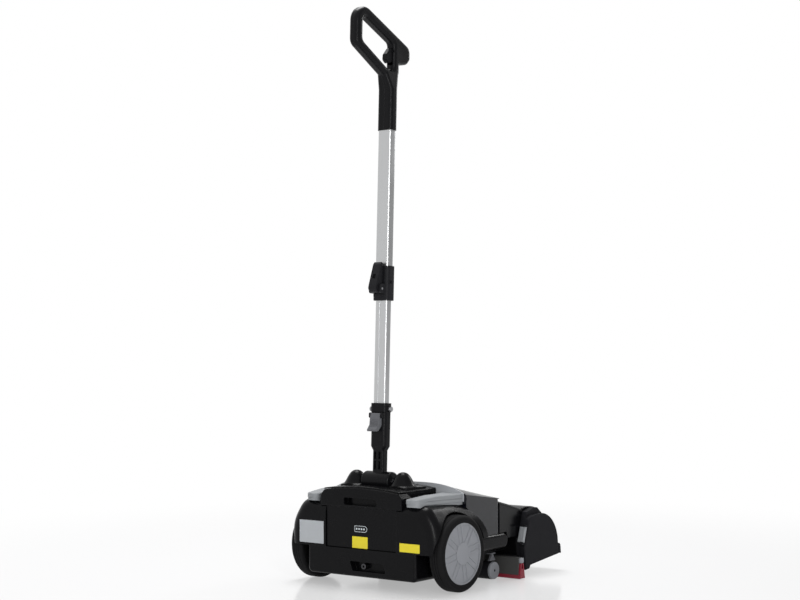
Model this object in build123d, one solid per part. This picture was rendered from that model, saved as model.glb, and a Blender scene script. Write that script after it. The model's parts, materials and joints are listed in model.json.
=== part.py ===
from build123d import *
import os
from math import cos, radians, sin, tan

# A walk-behind cordless floor scrubber, in millimetres: X to its right, Y forward, Z up.
# Pieces are drawn about the point of the floor below the middle of the wheel axle. The handle is
# drawn upright on its pivot and then leant, and the brush head is drawn as it works and then raised.

# Fits
RUNNING_GAP = 0.05
CLEAR = 0.3
WALL = 3.0

# Wheels
OVERALL_WIDTH = 420.0
WHEEL_PROUD = 20.0
WHEEL_R = 82.0
WHEEL_WIDTH = 29.0
TYRE_EDGE = 7.0
HUB_R = 60.0
HUB_BOSS_R = 14.0
CAP_R = HUB_R + 6.0
CAP_DEPTH = 4.0
CAP_BOSS_R = 24.0
CAP_SPOKES = 8
AXLE_R = 6.0
WELL_GAP = 5.0
WELL_SIDE = 27.0
WELL_R = WHEEL_R + WELL_GAP

# Body shells
REAR_Y = -91.0
BODY_HALF = OVERALL_WIDTH / 2 - WHEEL_PROUD
FENDER_HALF = BODY_HALF + 15.5
SHOULDER_HALF = FENDER_HALF - 54.5
REAR_ROUND = 26.0
SHOULDER_Z = 187.0
FLOOR_Z = 25.0
SPLIT_Z = 85.0
FENDER_R = WELL_R + 17.0
HOUSING_FRONT = 46.0
DECK_HALF = 104.0
DECK_EDGE_Z = 214.0
DECK_CROWN_Z = 221.0
APRON_Z = 60.0
APRON_THICK = 4.0
APRON_FRONT = 248.0

# Rear recess and charge socket
RECESS_X = 20.0
RECESS_WIDTH = 100.0
RECESS_Z = 48.0
RECESS_HEIGHT = 21.0
RECESS_DEPTH = 16.0
SOCKET_X = 5.0
SOCKET_R = 6.5
SOCKET_BORE_R = 2.8
SOCKET_BORE_DEPTH = 9.5

# Battery
DOOR_HALF = 98.0
DOOR_TOP = 174.5
DOOR_INSET = 3.0
HOOD_HALF = 113.0
HOOD_DEPTH = 34.0
BATTERY_HALF = 92.0
BATTERY_BOTTOM = 86.0
BATTERY_TOP = 170.0
BATTERY_FRONT = -9.0

# Recovery tank
TANK_HALF = BODY_HALF - 6.0
TANK_BACK = 48.0
TANK_FRONT = 175.5
TANK_BOTTOM = 106.3
TANK_TOP_BACK = 201.0
TANK_TOP_FRONT = 183.5
TANK_BEAD_DROP = 9.0
LID_EDGE = 1.5
LID_HALF = 0.81 * TANK_HALF
LID_CROWN_BACK = 224.0
LID_CROWN_FRONT = 196.5
LID_FULL_BACK = 0.62
LID_FULL_FRONT = 0.35
GRIP_BACK = -95.0
GRIP_TOP = SHOULDER_Z + 18.0
GRIP_INNER = BODY_HALF - 69.0
GRIP_OUTER = GRIP_INNER + 38.0
GRIP_OUTER_FRONT = GRIP_OUTER + 17.0
FLOAT_X = TANK_HALF - 34.0
FLOAT_Y = 125.0

# Handle, along its own axis from the tilt pivot
PIVOT_Y = -22.0
PIVOT_Z = 228.0
PIVOT_R = 6.0
PIVOT_HALF = 83.0
HUMP_X = 65.0
HUMP_R = 38.0
LEAN = 2.35
KNUCKLE_R = 22.0
KNUCKLE_HALF = 38.5
YOKE_BACK = KNUCKLE_R + 6.0
YOKE_FRONT = KNUCKLE_R + 30.0
NECK_TOP = 68.0
SOCKET_BOTTOM = 77.0
SOCKET_TOP = 172.0
TUBE_SEAT = 112.0
LOWER_TUBE_TOP = 600.0
UPPER_TUBE_X = 36.0
UPPER_TUBE_Y = 22.0
TUBE_WALL = 1.3
LOWER_TUBE_X = UPPER_TUBE_X - 2 * TUBE_WALL - 2 * CLEAR
LOWER_TUBE_Y = UPPER_TUBE_Y - 2 * TUBE_WALL - 2 * CLEAR
SOCKET_WALL = 4.1
CLAMP_WALL = 4.0
TUBE_CORNER = 6.0
CLAMP_BOTTOM = 399.0
CLAMP_TOP = 476.0
CLAMP_PIN_S = 424.0
CLAMP_PIN_Y = -26.5
CLAMP_PIN_R = 2.5
LEVER_PIN_Y = -17.0
LEVER_PIN_S = 145.0
BOLT_R = 3.0
BOLT_BOSS_HALF = LOWER_TUBE_X / 2 + SOCKET_WALL + 4.5
SCREW_R = 1.7
SCREW_HEAD_R = 3.2
SLEEVE_BOTTOM = 780.0
SLEEVE_TOP = SLEEVE_BOTTOM + 92.0
UPPER_TUBE_TOP = SLEEVE_TOP - 6.0

# Loop grip, in the handle's fore and aft plane
LOOP_HALF = 13.0
REAR_BAR_Y = -116.0
REAR_BAR_LOW = SLEEVE_TOP + 87.5
REAR_BAR_HIGH = SLEEVE_TOP + 167.7
UPPER_BAR_R = 11.5
LOWER_BAR_R = 10.0
UPPER_SLOPE = -22.7
LOWER_SLOPE = -27.5
COLUMN_BACK = 4.5
COLUMN_FRONT = 27.0
GRIP_NOSE_Y = 66.0
TRIGGER_PIVOT_Y = 7.0
TRIGGER_PIVOT_S = SLEEVE_TOP + 88.0

# Brush head, as it works, with the brush just on the floor
HINGE_Y = 190.0
HINGE_Z = 89.5
HINGE_PIN_R = 6.0
ARM_R = 16.5
ARM_INNER = BODY_HALF - 40.0
ARM_OUTER = BODY_HALF - 2.0
HEAD_LIFT = 6.4
BRUSH_Y = 325.0
BRUSH_R = 50.0
BRUSH_FLOOR_GAP = 0.4
CORE_R = 22.0
STUB_R = 6.0
STUB_PLAY = 3.0
CHEEK_R = 74.0
HOOD_ARC_Y = 307.0
HOOD_R = 92.0
HOOD_REAR_Y = 258.0
HOOD_KNEE_Z = 70.0
HOOD_BROW_Y = 294.0
CHEEK_REAR_Y = 256.0
CHEEK_KNEE_Z = 60.0
CHEEK_LEAN = 24.6
HOOD_RIGHT = BODY_HALF - 18.0
HOOD_LEFT = 14.0 - BODY_HALF
LATCH_LOW = 10.0
LATCH_HIGH = 46.0
LATCH_PIN_Y = -5.6
LATCH_PIN_R = 2.0
CHEEK_FACE = BODY_HALF + 6.0
CHEEK_STEP = CHEEK_FACE - 10.0
LATCH_PIN_X = CHEEK_FACE - 5.0
NOSE_HALF = TANK_HALF
NOSE_FRONT_HALF = NOSE_HALF - 13.0
NOSE_EDGE_BACK = 177.0
NOSE_FRONT_Z = 147.0
NOSE_CROWN_BACK = LID_CROWN_FRONT - 1.5
NOSE_CROWN_FRONT = NOSE_FRONT_Z + 5.0
MOTOR_Y = 308.0
MOTOR_Z = 119.0
MOTOR_R = 17.0
MOTOR_SHAFT_R = 4.0
BRUSH_PULLEY_R = 22.0
MOTOR_PULLEY_R = 9.0
BELT_THICK = 2.5
PULLEY_OUT = CHEEK_STEP - 3.0
PULLEY_IN = PULLEY_OUT - 6.0
BRISTLE_STRIPS = 4
TUFT_COLUMNS = 20
TUFT_ROWS = 5
TUFT_WIDTH = 3.6

# Support rollers and squeegee
ROLLER_R = 20.0
ROLLER_Y = 194.0
ROLLER_OUTER = ARM_INNER + 8.0
ROLLER_INNER = ROLLER_OUTER - 46.0
ROLLER_CAP = 6.0
ROLLER_PIN_R = 4.0
SQUEEGEE_Y = 236.0
SQUEEGEE_HALF = BODY_HALF + 10.0
SQUEEGEE_TOP = 48.0
BLADE_THICK = 3.0
BLADE_FLOOR_GAP = 0.8
BLADE_TOP = 35.0
CARRIER_LOW = 9.5
GUIDE_X = 110.0
GUIDE_R = 5.0

# Inner machinery
FAN_Y = 70.0
FAN_Z = 64.0
FAN_R = 29.0
VACUUM_R = 34.0

TYRE_FACE = OVERALL_WIDTH / 2 - CAP_DEPTH
TYRE_INNER = TYRE_FACE - WHEEL_WIDTH
WELL_INNER = TYRE_INNER - WELL_SIDE
PAN_INSIDE = WELL_INNER - 2 * WALL
AXLE_BOSS_END = WELL_INNER + WALL
WEB_FACE = TYRE_FACE - 6.0
AXLE_END = WEB_FACE + 3.0
BRUSH_Z = BRUSH_R + BRUSH_FLOOR_GAP
FAR = 1000.0


def slab(x0, x1, y0, y1, z0, z1):
    middle = Pos((x0 + x1) / 2, (y0 + y1) / 2, (z0 + z1) / 2)
    return middle * Box(x1 - x0, y1 - y0, z1 - z0)


def rod(x0, x1, y, z, r):
    """A round bar along X."""
    return Pos((x0 + x1) / 2, y, z) * Rot(0, 90, 0) * Cylinder(r, x1 - x0)


def post(x, y, z0, z1, r):
    """A round bar along Z."""
    return Pos(x, y, (z0 + z1) / 2) * Cylinder(r, z1 - z0)


def side_prism(face, x0, x1):
    """A flat outline in Y and Z, drawn out along X."""
    return extrude(Plane.YZ.offset(x0) * face, amount=x1 - x0, dir=(1, 0, 0))


def rear_prism(face, y0, y1):
    """A flat outline in X and Z, drawn out along Y."""
    return extrude(Plane.XZ.offset(-y0) * face, amount=y1 - y0, dir=(0, 1, 0))


def plan_prism(face, z0, z1):
    """A flat outline in X and Y, drawn out along Z."""
    return extrude(Plane.XY.offset(z0) * face, amount=z1 - z0, dir=(0, 0, 1))


def rounded(points, radii):
    """A closed outline with its corners rounded."""
    return make_face(FilletPolyline(*points, radius=radii, close=True))


def section(width, depth, corner, s):
    """A rounded rectangle square to the handle's axis."""
    return Pos(0, 0, s) * RectangleRounded(width, depth, corner)


def stick(width, depth, corner, s0, s1):
    return extrude(section(width, depth, corner, s0), amount=s1 - s0)


def mirrored(shape):
    return mirror(shape, about=Plane.YZ)


def both(shape):
    return shape + mirrored(shape)


def on_handle(shape):
    """From the handle's own axes to where it stands, leaning forward."""
    return Pos(0, PIVOT_Y, PIVOT_Z) * Rot(-LEAN, 0, 0) * shape


def on_head(shape):
    """From the working place of the brush head to where it is parked, raised on its hinge."""
    return Pos(0, HINGE_Y, HINGE_Z) * Rot(HEAD_LIFT, 0, 0) * Pos(0, -HINGE_Y, -HINGE_Z) * shape


def meet(point, slope, y):
    """Where a line through a point, at a slope in degrees, passes y."""
    return (y, point[1] + (y - point[0]) * tan(radians(slope)))


def shifted(point, slope, distance):
    """A point moved square to a line at a slope in degrees, upward for a positive distance."""
    return (point[0] - distance * sin(radians(slope)), point[1] + distance * cos(radians(slope)))


# Wheels

def tyre():
    ring = rod(TYRE_INNER, OVERALL_WIDTH / 2, 0, WHEEL_R, WHEEL_R)
    ring = fillet(ring.edges().filter_by(GeomType.CIRCLE), TYRE_EDGE)
    ring -= rod(TYRE_INNER - 1, FAR, 0, WHEEL_R, HUB_R)
    ring -= rod(TYRE_FACE, FAR, 0, WHEEL_R, CAP_R + CLEAR)
    middle = (TYRE_INNER + TYRE_FACE) / 2
    groove_depth = 1.0
    for x in (middle - 6.0, middle, middle + 6.0):
        groove = rod(x - 0.7, x + 0.7, 0, WHEEL_R, WHEEL_R + 1)
        ring -= groove - rod(x - 2, x + 2, 0, WHEEL_R, WHEEL_R - groove_depth)
    return ring


def hub():
    rim_wall = 4.0
    web = 6.0
    inside = HUB_R - rim_wall
    inner_face = TYRE_INNER + 2
    shape = rod(inner_face, TYRE_FACE, 0, WHEEL_R, HUB_R)
    shape -= rod(WEB_FACE, TYRE_FACE + 1, 0, WHEEL_R, inside)
    hollow = rod(inner_face - 1, WEB_FACE - web, 0, WHEEL_R, inside)
    shape -= hollow - rod(inner_face - 2, WEB_FACE, 0, WHEEL_R, HUB_BOSS_R)
    shape += rod(AXLE_BOSS_END + CLEAR, inner_face, 0, WHEEL_R, HUB_BOSS_R)
    return shape - rod(0, TYRE_FACE, 0, WHEEL_R, AXLE_R + RUNNING_GAP)


def hub_cap():
    plate = 2.0
    face = TYRE_FACE + plate
    outer = TYRE_FACE + CAP_DEPTH
    rim = 4.0
    disc = rod(TYRE_FACE, outer, 0, WHEEL_R, CAP_R)
    disc = fillet(disc.edges().filter_by(GeomType.CIRCLE).sort_by(Axis.X)[-1:], 1.5)
    disc -= rod(face, outer + 1, 0, WHEEL_R, CAP_R - rim)
    disc += rod(face - 0.5, outer - 0.6, 0, WHEEL_R, CAP_BOSS_R)
    rib = slab(face - 0.5, outer - 0.8, -1.4, 1.4, CAP_BOSS_R - 3, CAP_R - rim + 1)
    ribs = []
    for spoke in range(CAP_SPOKES):
        for side in (-6.0, 6.0):
            turn = Rot(360.0 * spoke / CAP_SPOKES + 11.0, 0, 0)
            ribs.append(Pos(0, 0, WHEEL_R) * turn * Pos(0, side, 0) * rib)
    disc = disc + ribs
    skirt = rod(WEB_FACE + 0.2, TYRE_FACE, 0, WHEEL_R, HUB_R - 4.3)
    return disc + (skirt - rod(WEB_FACE, TYRE_FACE, 0, WHEEL_R, HUB_R - 7))


def wheel_axle():
    collar = rod(WEB_FACE + CLEAR, AXLE_END - 0.7, 0, WHEEL_R, AXLE_R + 5)
    return rod(-AXLE_END, AXLE_END, 0, WHEEL_R, AXLE_R) + both(collar)


# Body shells

def wells():
    return both(rod(WELL_INNER, FAR, 0, WHEEL_R, WELL_R))


def recess():
    half = RECESS_WIDTH / 2
    z0 = RECESS_Z - RECESS_HEIGHT / 2
    z1 = RECESS_Z + RECESS_HEIGHT / 2
    taper = 8.0
    face = rounded(
        [
            (RECESS_X - half, z1), (RECESS_X - half + taper, z0),
            (RECESS_X + half, z0), (RECESS_X + half - taper, z1),
        ],
        3.0,
    )
    return rear_prism(face, REAR_Y - 1, REAR_Y + RECESS_DEPTH)


def side_arm():
    bar = slab(ARM_INNER, ARM_OUTER, HOUSING_FRONT, HINGE_Y, HINGE_Z - ARM_R, HINGE_Z + ARM_R)
    bar += rod(ARM_INNER, ARM_OUTER, HINGE_Y, HINGE_Z, ARM_R)
    outer = bar.faces().sort_by(Axis.X)[-1].edges()
    bar = fillet(outer, 7.0)
    return bar - rod(ARM_INNER - 1, ARM_OUTER - 6, HINGE_Y, HINGE_Z, HINGE_PIN_R)


def chassis_pan():
    edge = WELL_INNER
    outline = [(-edge, SPLIT_Z), (edge, SPLIT_Z), (edge, FLOOR_Z), (-edge, FLOOR_Z)]
    bumper = rear_prism(rounded(outline, [0, 0, 10, 10]), REAR_Y, HOUSING_FRONT)
    rim = bumper.faces().sort_by(Axis.Y)[0].edges()
    bumper = fillet(rim.sort_by(Axis.Z)[:-1], 7.0)

    top = HINGE_Z + ARM_R - WALL
    apron_top = APRON_Z + APRON_THICK
    back_wall = TANK_FRONT - WALL
    tub = Polygon(
        (0, FLOOR_Z), (148, FLOOR_Z), (170, APRON_Z), (APRON_FRONT, APRON_Z),
        (APRON_FRONT, apron_top), (back_wall, apron_top), (back_wall, top), (HOUSING_FRONT + 14, top),
        (HOUSING_FRONT + 14, SPLIT_Z), (0, SPLIT_Z),
    )
    shape = bumper + side_prism(tub, -ARM_INNER, ARM_INNER)
    shape += slab(-WELL_INNER, WELL_INNER, 0, HOUSING_FRONT + 14, FLOOR_Z, SPLIT_Z)
    shape += both(side_arm() - wells())

    floor = FLOOR_Z + WALL
    shape -= slab(-PAN_INSIDE, PAN_INSIDE, REAR_Y + WALL + 1, HOUSING_FRONT + 13, floor, FAR)
    room = Polygon(
        (HOUSING_FRONT, floor), (146, floor), (167, APRON_Z + WALL), (167, FAR), (HOUSING_FRONT, FAR)
    )
    shape -= side_prism(room, -ARM_INNER + WALL, ARM_INNER - WALL)

    shape += both(rod(PAN_INSIDE - WALL, AXLE_BOSS_END, 0, WHEEL_R, AXLE_R + 7))
    shape -= rod(-FAR, FAR, 0, WHEEL_R, AXLE_R)
    rail = slab(55, 63, REAR_Y + RECESS_DEPTH + WALL + 2, BATTERY_FRONT, floor - 1, BATTERY_BOTTOM - CLEAR)
    shape += both(rail)

    half = RECESS_WIDTH / 2 + 4
    tall = RECESS_HEIGHT / 2 + 4
    shape += slab(
        RECESS_X - half, RECESS_X + half, REAR_Y + 2, REAR_Y + RECESS_DEPTH + WALL,
        RECESS_Z - tall, RECESS_Z + tall,
    )
    shape -= recess()
    guide = post(GUIDE_X, SQUEEGEE_Y, apron_top - 1, apron_top + 6, GUIDE_R + 4)
    shape += both(guide)
    shape -= both(post(GUIDE_X, SQUEEGEE_Y, 0, FAR, GUIDE_R + RUNNING_GAP))
    return shape


def charge_socket():
    back = REAR_Y + RECESS_DEPTH
    length = 11.0
    along = Pos(SOCKET_X, back - length / 2, RECESS_Z) * Rot(90, 0, 0)
    barrel = along * Cylinder(SOCKET_R, length)
    barrel = fillet(barrel.edges().filter_by(GeomType.CIRCLE).sort_by(Axis.Y)[:1], 0.8)
    mouth = Pos(SOCKET_X, back - length + SOCKET_BORE_DEPTH / 2, RECESS_Z) * Rot(90, 0, 0)
    return barrel - mouth * Cylinder(SOCKET_BORE_R, SOCKET_BORE_DEPTH)


def main_housing():
    waist = 112.0
    half = [
        Line((0, SPLIT_Z), (FENDER_HALF, SPLIT_Z)),
        Line((FENDER_HALF, SPLIT_Z), (FENDER_HALF, waist)),
        Spline(
            (FENDER_HALF, waist), (FENDER_HALF - 8, 148), (FENDER_HALF - 20, 167),
            (SHOULDER_HALF, SHOULDER_Z), tangents=((0, 1), (-1, 0)),
        ),
        Line((SHOULDER_HALF, SHOULDER_Z), (0, SHOULDER_Z)),
        Line((0, SHOULDER_Z), (0, SPLIT_Z)),
    ]
    shape = both(rear_prism(make_face(half), REAR_Y, FENDER_R))
    rear_rim = shape.faces().sort_by(Axis.Y)[0].edges()
    lower = rear_rim.filter_by_position(Axis.Z, SPLIT_Z - 1, SPLIT_Z + 1)
    shape = fillet([edge for edge in rear_rim if edge not in lower], REAR_ROUND)
    ahead = slab(-FAR, FAR, 0, FAR, 0, FAR) - rod(-FAR, FAR, 0, WHEEL_R, FENDER_R)
    shape -= ahead
    shape -= slab(-WELL_INNER + WALL, WELL_INNER - WALL, HOUSING_FRONT, FAR, 0, FAR)
    shape -= wells()
    shape -= both(slab(PAN_INSIDE - CLEAR, FAR, HOUSING_FRONT, FAR, 0, TANK_BOTTOM))
    hood = HOOD_HALF + CLEAR
    room = slab(-PAN_INSIDE, PAN_INSIDE, REAR_Y + WALL + 1, FAR, 0, SHOULDER_Z - WALL)
    shape -= fillet(room.faces().sort_by(Axis.Z)[-1].edges().sort_by(Axis.Y)[0], REAR_ROUND - WALL)
    shape -= slab(-hood, hood, REAR_Y + WALL + 1, FAR, 0, SHOULDER_Z - WALL)
    door = DOOR_HALF + CLEAR
    shape -= slab(-door, door, REAR_Y - 1, REAR_Y + 10, 0, DOOR_TOP + CLEAR)
    shape -= slab(-hood, hood, REAR_Y - 1, REAR_Y + HOOD_DEPTH + CLEAR, DOOR_TOP - CLEAR, FAR)
    return shape - rod(-FAR, FAR, 0, WHEEL_R, AXLE_R + 7 + CLEAR)


def deck_arch(half, edge_z, crown_z, base_z):
    """A crowned outline in X and Z with upright sides."""
    return make_face(
        [
            Line((-half, edge_z), (-half, base_z)),
            Line((-half, base_z), (half, base_z)),
            Line((half, base_z), (half, edge_z)),
            ThreePointArc((half, edge_z), (0, crown_z), (-half, edge_z)),
        ]
    )


def yoke_plan():
    """The outline that the yoke cover fills in the deck."""
    back, front, half = PIVOT_Y - YOKE_BACK, PIVOT_Y + YOKE_FRONT, DECK_HALF - 8
    return rounded([(-half, back), (half, back), (half, front), (-half, front)], 14.0)


def deck_cover():
    back = REAR_Y + 2
    hood_front = REAR_Y + HOOD_DEPTH + CLEAR
    arch = deck_arch(DECK_HALF, DECK_EDGE_Z, DECK_CROWN_Z, SHOULDER_Z)
    shape = rear_prism(arch, back, HOUSING_FRONT)
    rim = shape.faces().sort_by(Axis.Z)[-1].edges()
    shape = fillet(rim.filter_by(Axis.Y) + rim.sort_by(Axis.Y)[:1], 2.6)
    inner = deck_arch(DECK_HALF - WALL, DECK_EDGE_Z - WALL, DECK_CROWN_Z - WALL, SHOULDER_Z - 1)
    shape -= rear_prism(inner, hood_front + WALL, HOUSING_FRONT - WALL)
    under = deck_arch(DECK_HALF + 1, DECK_EDGE_Z - WALL, DECK_CROWN_Z - WALL, 0)
    shape -= rear_prism(under, back - 1, hood_front)
    hole = offset(yoke_plan(), amount=CLEAR)
    return shape - plan_prism(hole, 0, FAR)


def hump():
    """The right bell of the yoke cover, round one end of the pivot axle."""
    foot = DECK_EDGE_Z + 5
    face = make_face(
        [
            Line((0, SHOULDER_Z), (0, PIVOT_Z + KNUCKLE_R + 0.7)),
            Spline(
                (0, PIVOT_Z + KNUCKLE_R + 0.7), (13, PIVOT_Z + KNUCKLE_R - 4.5), (22.5, PIVOT_Z + 3),
                (28, foot + 3.5), (HUMP_R, foot), tangents=((1, 0), (1, -0.1)),
            ),
            Line((HUMP_R, foot), (HUMP_R, SHOULDER_Z)),
            Line((HUMP_R, SHOULDER_Z), (0, SHOULDER_Z)),
        ]
    )
    return Pos(HUMP_X, PIVOT_Y, 0) * revolve(Plane.XZ * face, axis=Axis.Z)


def yoke_cover():
    foot = DECK_EDGE_Z + 5
    back, front = PIVOT_Y - YOKE_BACK, PIVOT_Y + YOKE_FRONT
    half = DECK_HALF - 8
    inner = KNUCKLE_HALF + 1
    shape = plan_prism(yoke_plan(), SHOULDER_Z, foot) + both(hump())
    shape += slab(-HUMP_X, HUMP_X, PIVOT_Y, PIVOT_Y + KNUCKLE_R + 8, SHOULDER_Z, PIVOT_Z)
    shape = shape & plan_prism(yoke_plan(), 0, FAR)
    shape -= rod(-inner, inner, PIVOT_Y, PIVOT_Z, KNUCKLE_R + 2)
    shape -= slab(-inner, inner, PIVOT_Y - FAR, PIVOT_Y + FAR, PIVOT_Z, FAR)
    shape -= slab(-inner, inner, PIVOT_Y - FAR, PIVOT_Y, foot, FAR)
    pocket = slab(inner + 6, half - 6, back + 6, front - 6, 0, PIVOT_Z - PIVOT_R - 6)
    shape -= both(pocket)
    return shape - rod(-PIVOT_HALF, PIVOT_HALF, PIVOT_Y, PIVOT_Z, PIVOT_R)


def pivot_axle():
    return rod(-PIVOT_HALF, PIVOT_HALF, PIVOT_Y, PIVOT_Z, PIVOT_R)


# Battery

def battery_panel():
    edge = DECK_EDGE_Z - WALL - CLEAR
    crown = DECK_CROWN_Z - WALL - CLEAR
    bevel = 11.0
    hood = make_face(
        [
            Line((-HOOD_HALF, edge - bevel), (-HOOD_HALF, DOOR_TOP)),
            Line((-HOOD_HALF, DOOR_TOP), (HOOD_HALF, DOOR_TOP)),
            Line((HOOD_HALF, DOOR_TOP), (HOOD_HALF, edge - bevel)),
            Line((HOOD_HALF, edge - bevel), (HOOD_HALF - bevel, edge)),
            ThreePointArc((HOOD_HALF - bevel, edge), (0, crown), (bevel - HOOD_HALF, edge)),
            Line((bevel - HOOD_HALF, edge), (-HOOD_HALF, edge - bevel)),
        ]
    )
    front = REAR_Y + HOOD_DEPTH
    shape = rear_prism(hood, REAR_Y, front)
    shape = fillet(shape.faces().sort_by(Axis.Y)[0].edges(), 2.5)
    shape -= slab(-HOOD_HALF + 4, HOOD_HALF - 4, REAR_Y + 24, front + 1, DOOR_TOP + 4, edge - bevel)
    door = slab(
        -DOOR_HALF, DOOR_HALF, REAR_Y + DOOR_INSET, REAR_Y + DOOR_INSET + 4, SPLIT_Z + CLEAR, DOOR_TOP
    )
    rim = door.faces().sort_by(Axis.Y)[0].edges().sort_by(Axis.Z)[:-1]
    shape += fillet(rim, 1.5)
    grip = slab(-46, 46, REAR_Y - 1, REAR_Y + 15, DOOR_TOP + 5, DOOR_TOP + 21)
    grip = fillet(grip.edges().filter_by(Axis.Y), 5.0)
    return shape - grip


def battery_case():
    back = REAR_Y + DOOR_INSET + 4
    shape = slab(-BATTERY_HALF, BATTERY_HALF, back, BATTERY_FRONT, BATTERY_BOTTOM, BATTERY_TOP)
    return fillet(shape.edges().filter_by(Axis.Z), 4.0)


def charge_gauge():
    back = REAR_Y + DOOR_INSET
    face = rounded([(-20, 122), (12, 122), (19, 129), (12, 136), (-20, 136)], 2.0)
    return rear_prism(face, back - 1.2, back)


# Recovery tank

def tank_profile(grow, floor):
    """The tank from the side below its sloping rim, grown fore and aft."""
    drop = grow * (TANK_TOP_BACK - TANK_TOP_FRONT) / (TANK_FRONT - TANK_BACK)
    return Polygon(
        (TANK_BACK - grow, floor), (TANK_FRONT + grow, floor),
        (TANK_FRONT + grow, TANK_TOP_FRONT - drop), (TANK_BACK - grow, TANK_TOP_BACK + drop),
    )


def recovery_tank():
    shape = side_prism(tank_profile(0, TANK_BOTTOM), -TANK_HALF, TANK_HALF)
    front_edges = shape.faces().sort_by(Axis.Y)[-1].edges().filter_by(Axis.Z)
    shape = fillet(front_edges, 8.0)
    near, far, tall = TANK_BACK + 1, TANK_FRONT - 9, 2.4
    fall = (far - near) * (TANK_TOP_BACK - TANK_TOP_FRONT) / (TANK_FRONT - TANK_BACK)
    low = TANK_TOP_BACK - TANK_BEAD_DROP
    bead = Polygon((near, low), (near, low + tall), (far, low + tall - fall), (far, low - fall))
    shape += side_prism(bead, -TANK_HALF - 1.2, TANK_HALF + 1.2)
    inside = WELL_INNER - WALL
    arch_r = FENDER_R + CLEAR
    shape -= both(rod(inside - CLEAR, FAR, 0, WHEEL_R, arch_r))
    floor = TANK_BOTTOM + WALL
    room = slab(
        -TANK_HALF + WALL, TANK_HALF - WALL, TANK_BACK + WALL, TANK_FRONT - WALL, floor, FAR
    )
    room = fillet(room.edges().filter_by(Axis.Z).sort_by(Axis.Y)[-2:], 5.0)
    room -= both(rod(inside - CLEAR - WALL, FAR, 0, WHEEL_R, arch_r + WALL))
    shape -= room
    shape += both(lid_shell() & slab(LID_HALF, FAR, -FAR, FAR, 0, FAR))
    shape -= lid_apron(CLEAR, FAR)
    return shape + post(FLOAT_X, FLOAT_Y, floor - 1, 165, 4.0)


def tank_float():
    floor = TANK_BOTTOM + WALL
    puck = post(FLOAT_X, FLOAT_Y, floor, floor + 26, 15)
    puck = fillet(puck.edges().filter_by(GeomType.CIRCLE), 4.0)
    return puck - post(FLOAT_X, FLOAT_Y, 0, FAR, 4.0 + CLEAR)


def lid_section(y, half, base, edge, crown, full):
    """A crowned outline in X and Z; full is the share of its rise that is left well out to the sides."""
    near, high = LID_HALF / TANK_HALF * half, edge + full * (crown - edge)
    face = make_face(
        [
            Line((-half, edge), (-half, base)),
            Line((-half, base), (half, base)),
            Line((half, base), (half, edge)),
            Spline((half, edge), (near, high), (0, crown), (-near, high), (-half, edge)),
        ]
    )
    return Plane.XZ.offset(-y) * face


def lid_body(inset):
    half = TANK_HALF - inset
    low = 0 if inset == 0 else 5
    rear = lid_section(
        TANK_BACK - 1 + inset, half, TANK_TOP_BACK - low, TANK_TOP_BACK + LID_EDGE - inset,
        LID_CROWN_BACK - inset, LID_FULL_BACK,
    )
    ahead = lid_section(
        TANK_FRONT - inset, half, TANK_TOP_FRONT - low, TANK_TOP_FRONT + LID_EDGE - inset,
        LID_CROWN_FRONT - inset, LID_FULL_FRONT,
    )
    return loft([rear, ahead], ruled=True)


def lid_apron(grow, top):
    """The lid's back edge, which hangs down to the side grips and stands in for the tank's wall there."""
    half = TANK_HALF - 6 + grow
    return slab(-half, half, TANK_BACK - 1, TANK_BACK + WALL - 1 + grow, SHOULDER_Z + CLEAR - grow, top)


def lid_shell():
    """The crowned top, of which the tank carries the shoulders and the lid the rest."""
    under = side_prism(tank_profile(5, 0), -FAR, FAR)
    shape = lid_body(0)
    rim = shape.faces().sort_by(Axis.Z)[-1].edges()
    shape = fillet(rim.sort_by(Axis.X)[:1] + rim.sort_by(Axis.X)[-1:], 1.0)
    return shape - lid_body(WALL) - under


def tank_lid():
    half = LID_HALF - CLEAR
    shell = lid_shell()
    shape = shell & (slab(-half, half, -FAR, FAR, 0, FAR) + lid_apron(0, FAR))
    return shape + lid_apron(0, TANK_TOP_BACK + 1)


def side_grip():
    front = TANK_BACK - 1
    plan = rounded(
        [
            (GRIP_INNER, front), (GRIP_INNER + 8, -10), (GRIP_INNER + 2, GRIP_BACK + 6),
            (GRIP_INNER + 10, GRIP_BACK), (GRIP_OUTER - 4, GRIP_BACK + 2), (GRIP_OUTER + 3, -40),
            (GRIP_OUTER_FRONT, front),
        ],
        [0, 30, 10, 10, 18, 60, 0],
    )
    low, tip = SHOULDER_Z + CLEAR, GRIP_BACK - 10
    side = rounded(
        [(tip, low + 5), (-70, low), (front, low), (front, GRIP_TOP), (-30, GRIP_TOP), (tip, GRIP_TOP - 6)],
        [0, 30, 0, 0, 60, 0],
    )
    shape = plan_prism(plan, low, GRIP_TOP) & side_prism(side, 0, FAR)
    edges = [edge for face in shape.faces() if face.normal_at().Z > 0.9 for edge in face.edges()]
    rim = [edge for edge in edges if sum(edge.is_same(other) for other in edges) == 1]
    shape = fillet([edge for edge in rim if edge.center().Y < front - 1], 3.0)
    line = SHOULDER_Z + 7
    band = plan_prism(offset(plan, amount=5), line, line + 1.2) - plan_prism(
        offset(plan, amount=-1.2), line - 1, line + 3
    )
    return shape - (band & slab(-FAR, FAR, GRIP_BACK + 30, front - 2, 0, FAR))


# Brush head

def circle_point(y, r, angle):
    """A point on a circle about the height of the brush, by its angle above straight ahead."""
    return (y + r * cos(radians(angle)), BRUSH_R + r * sin(radians(angle)))


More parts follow.
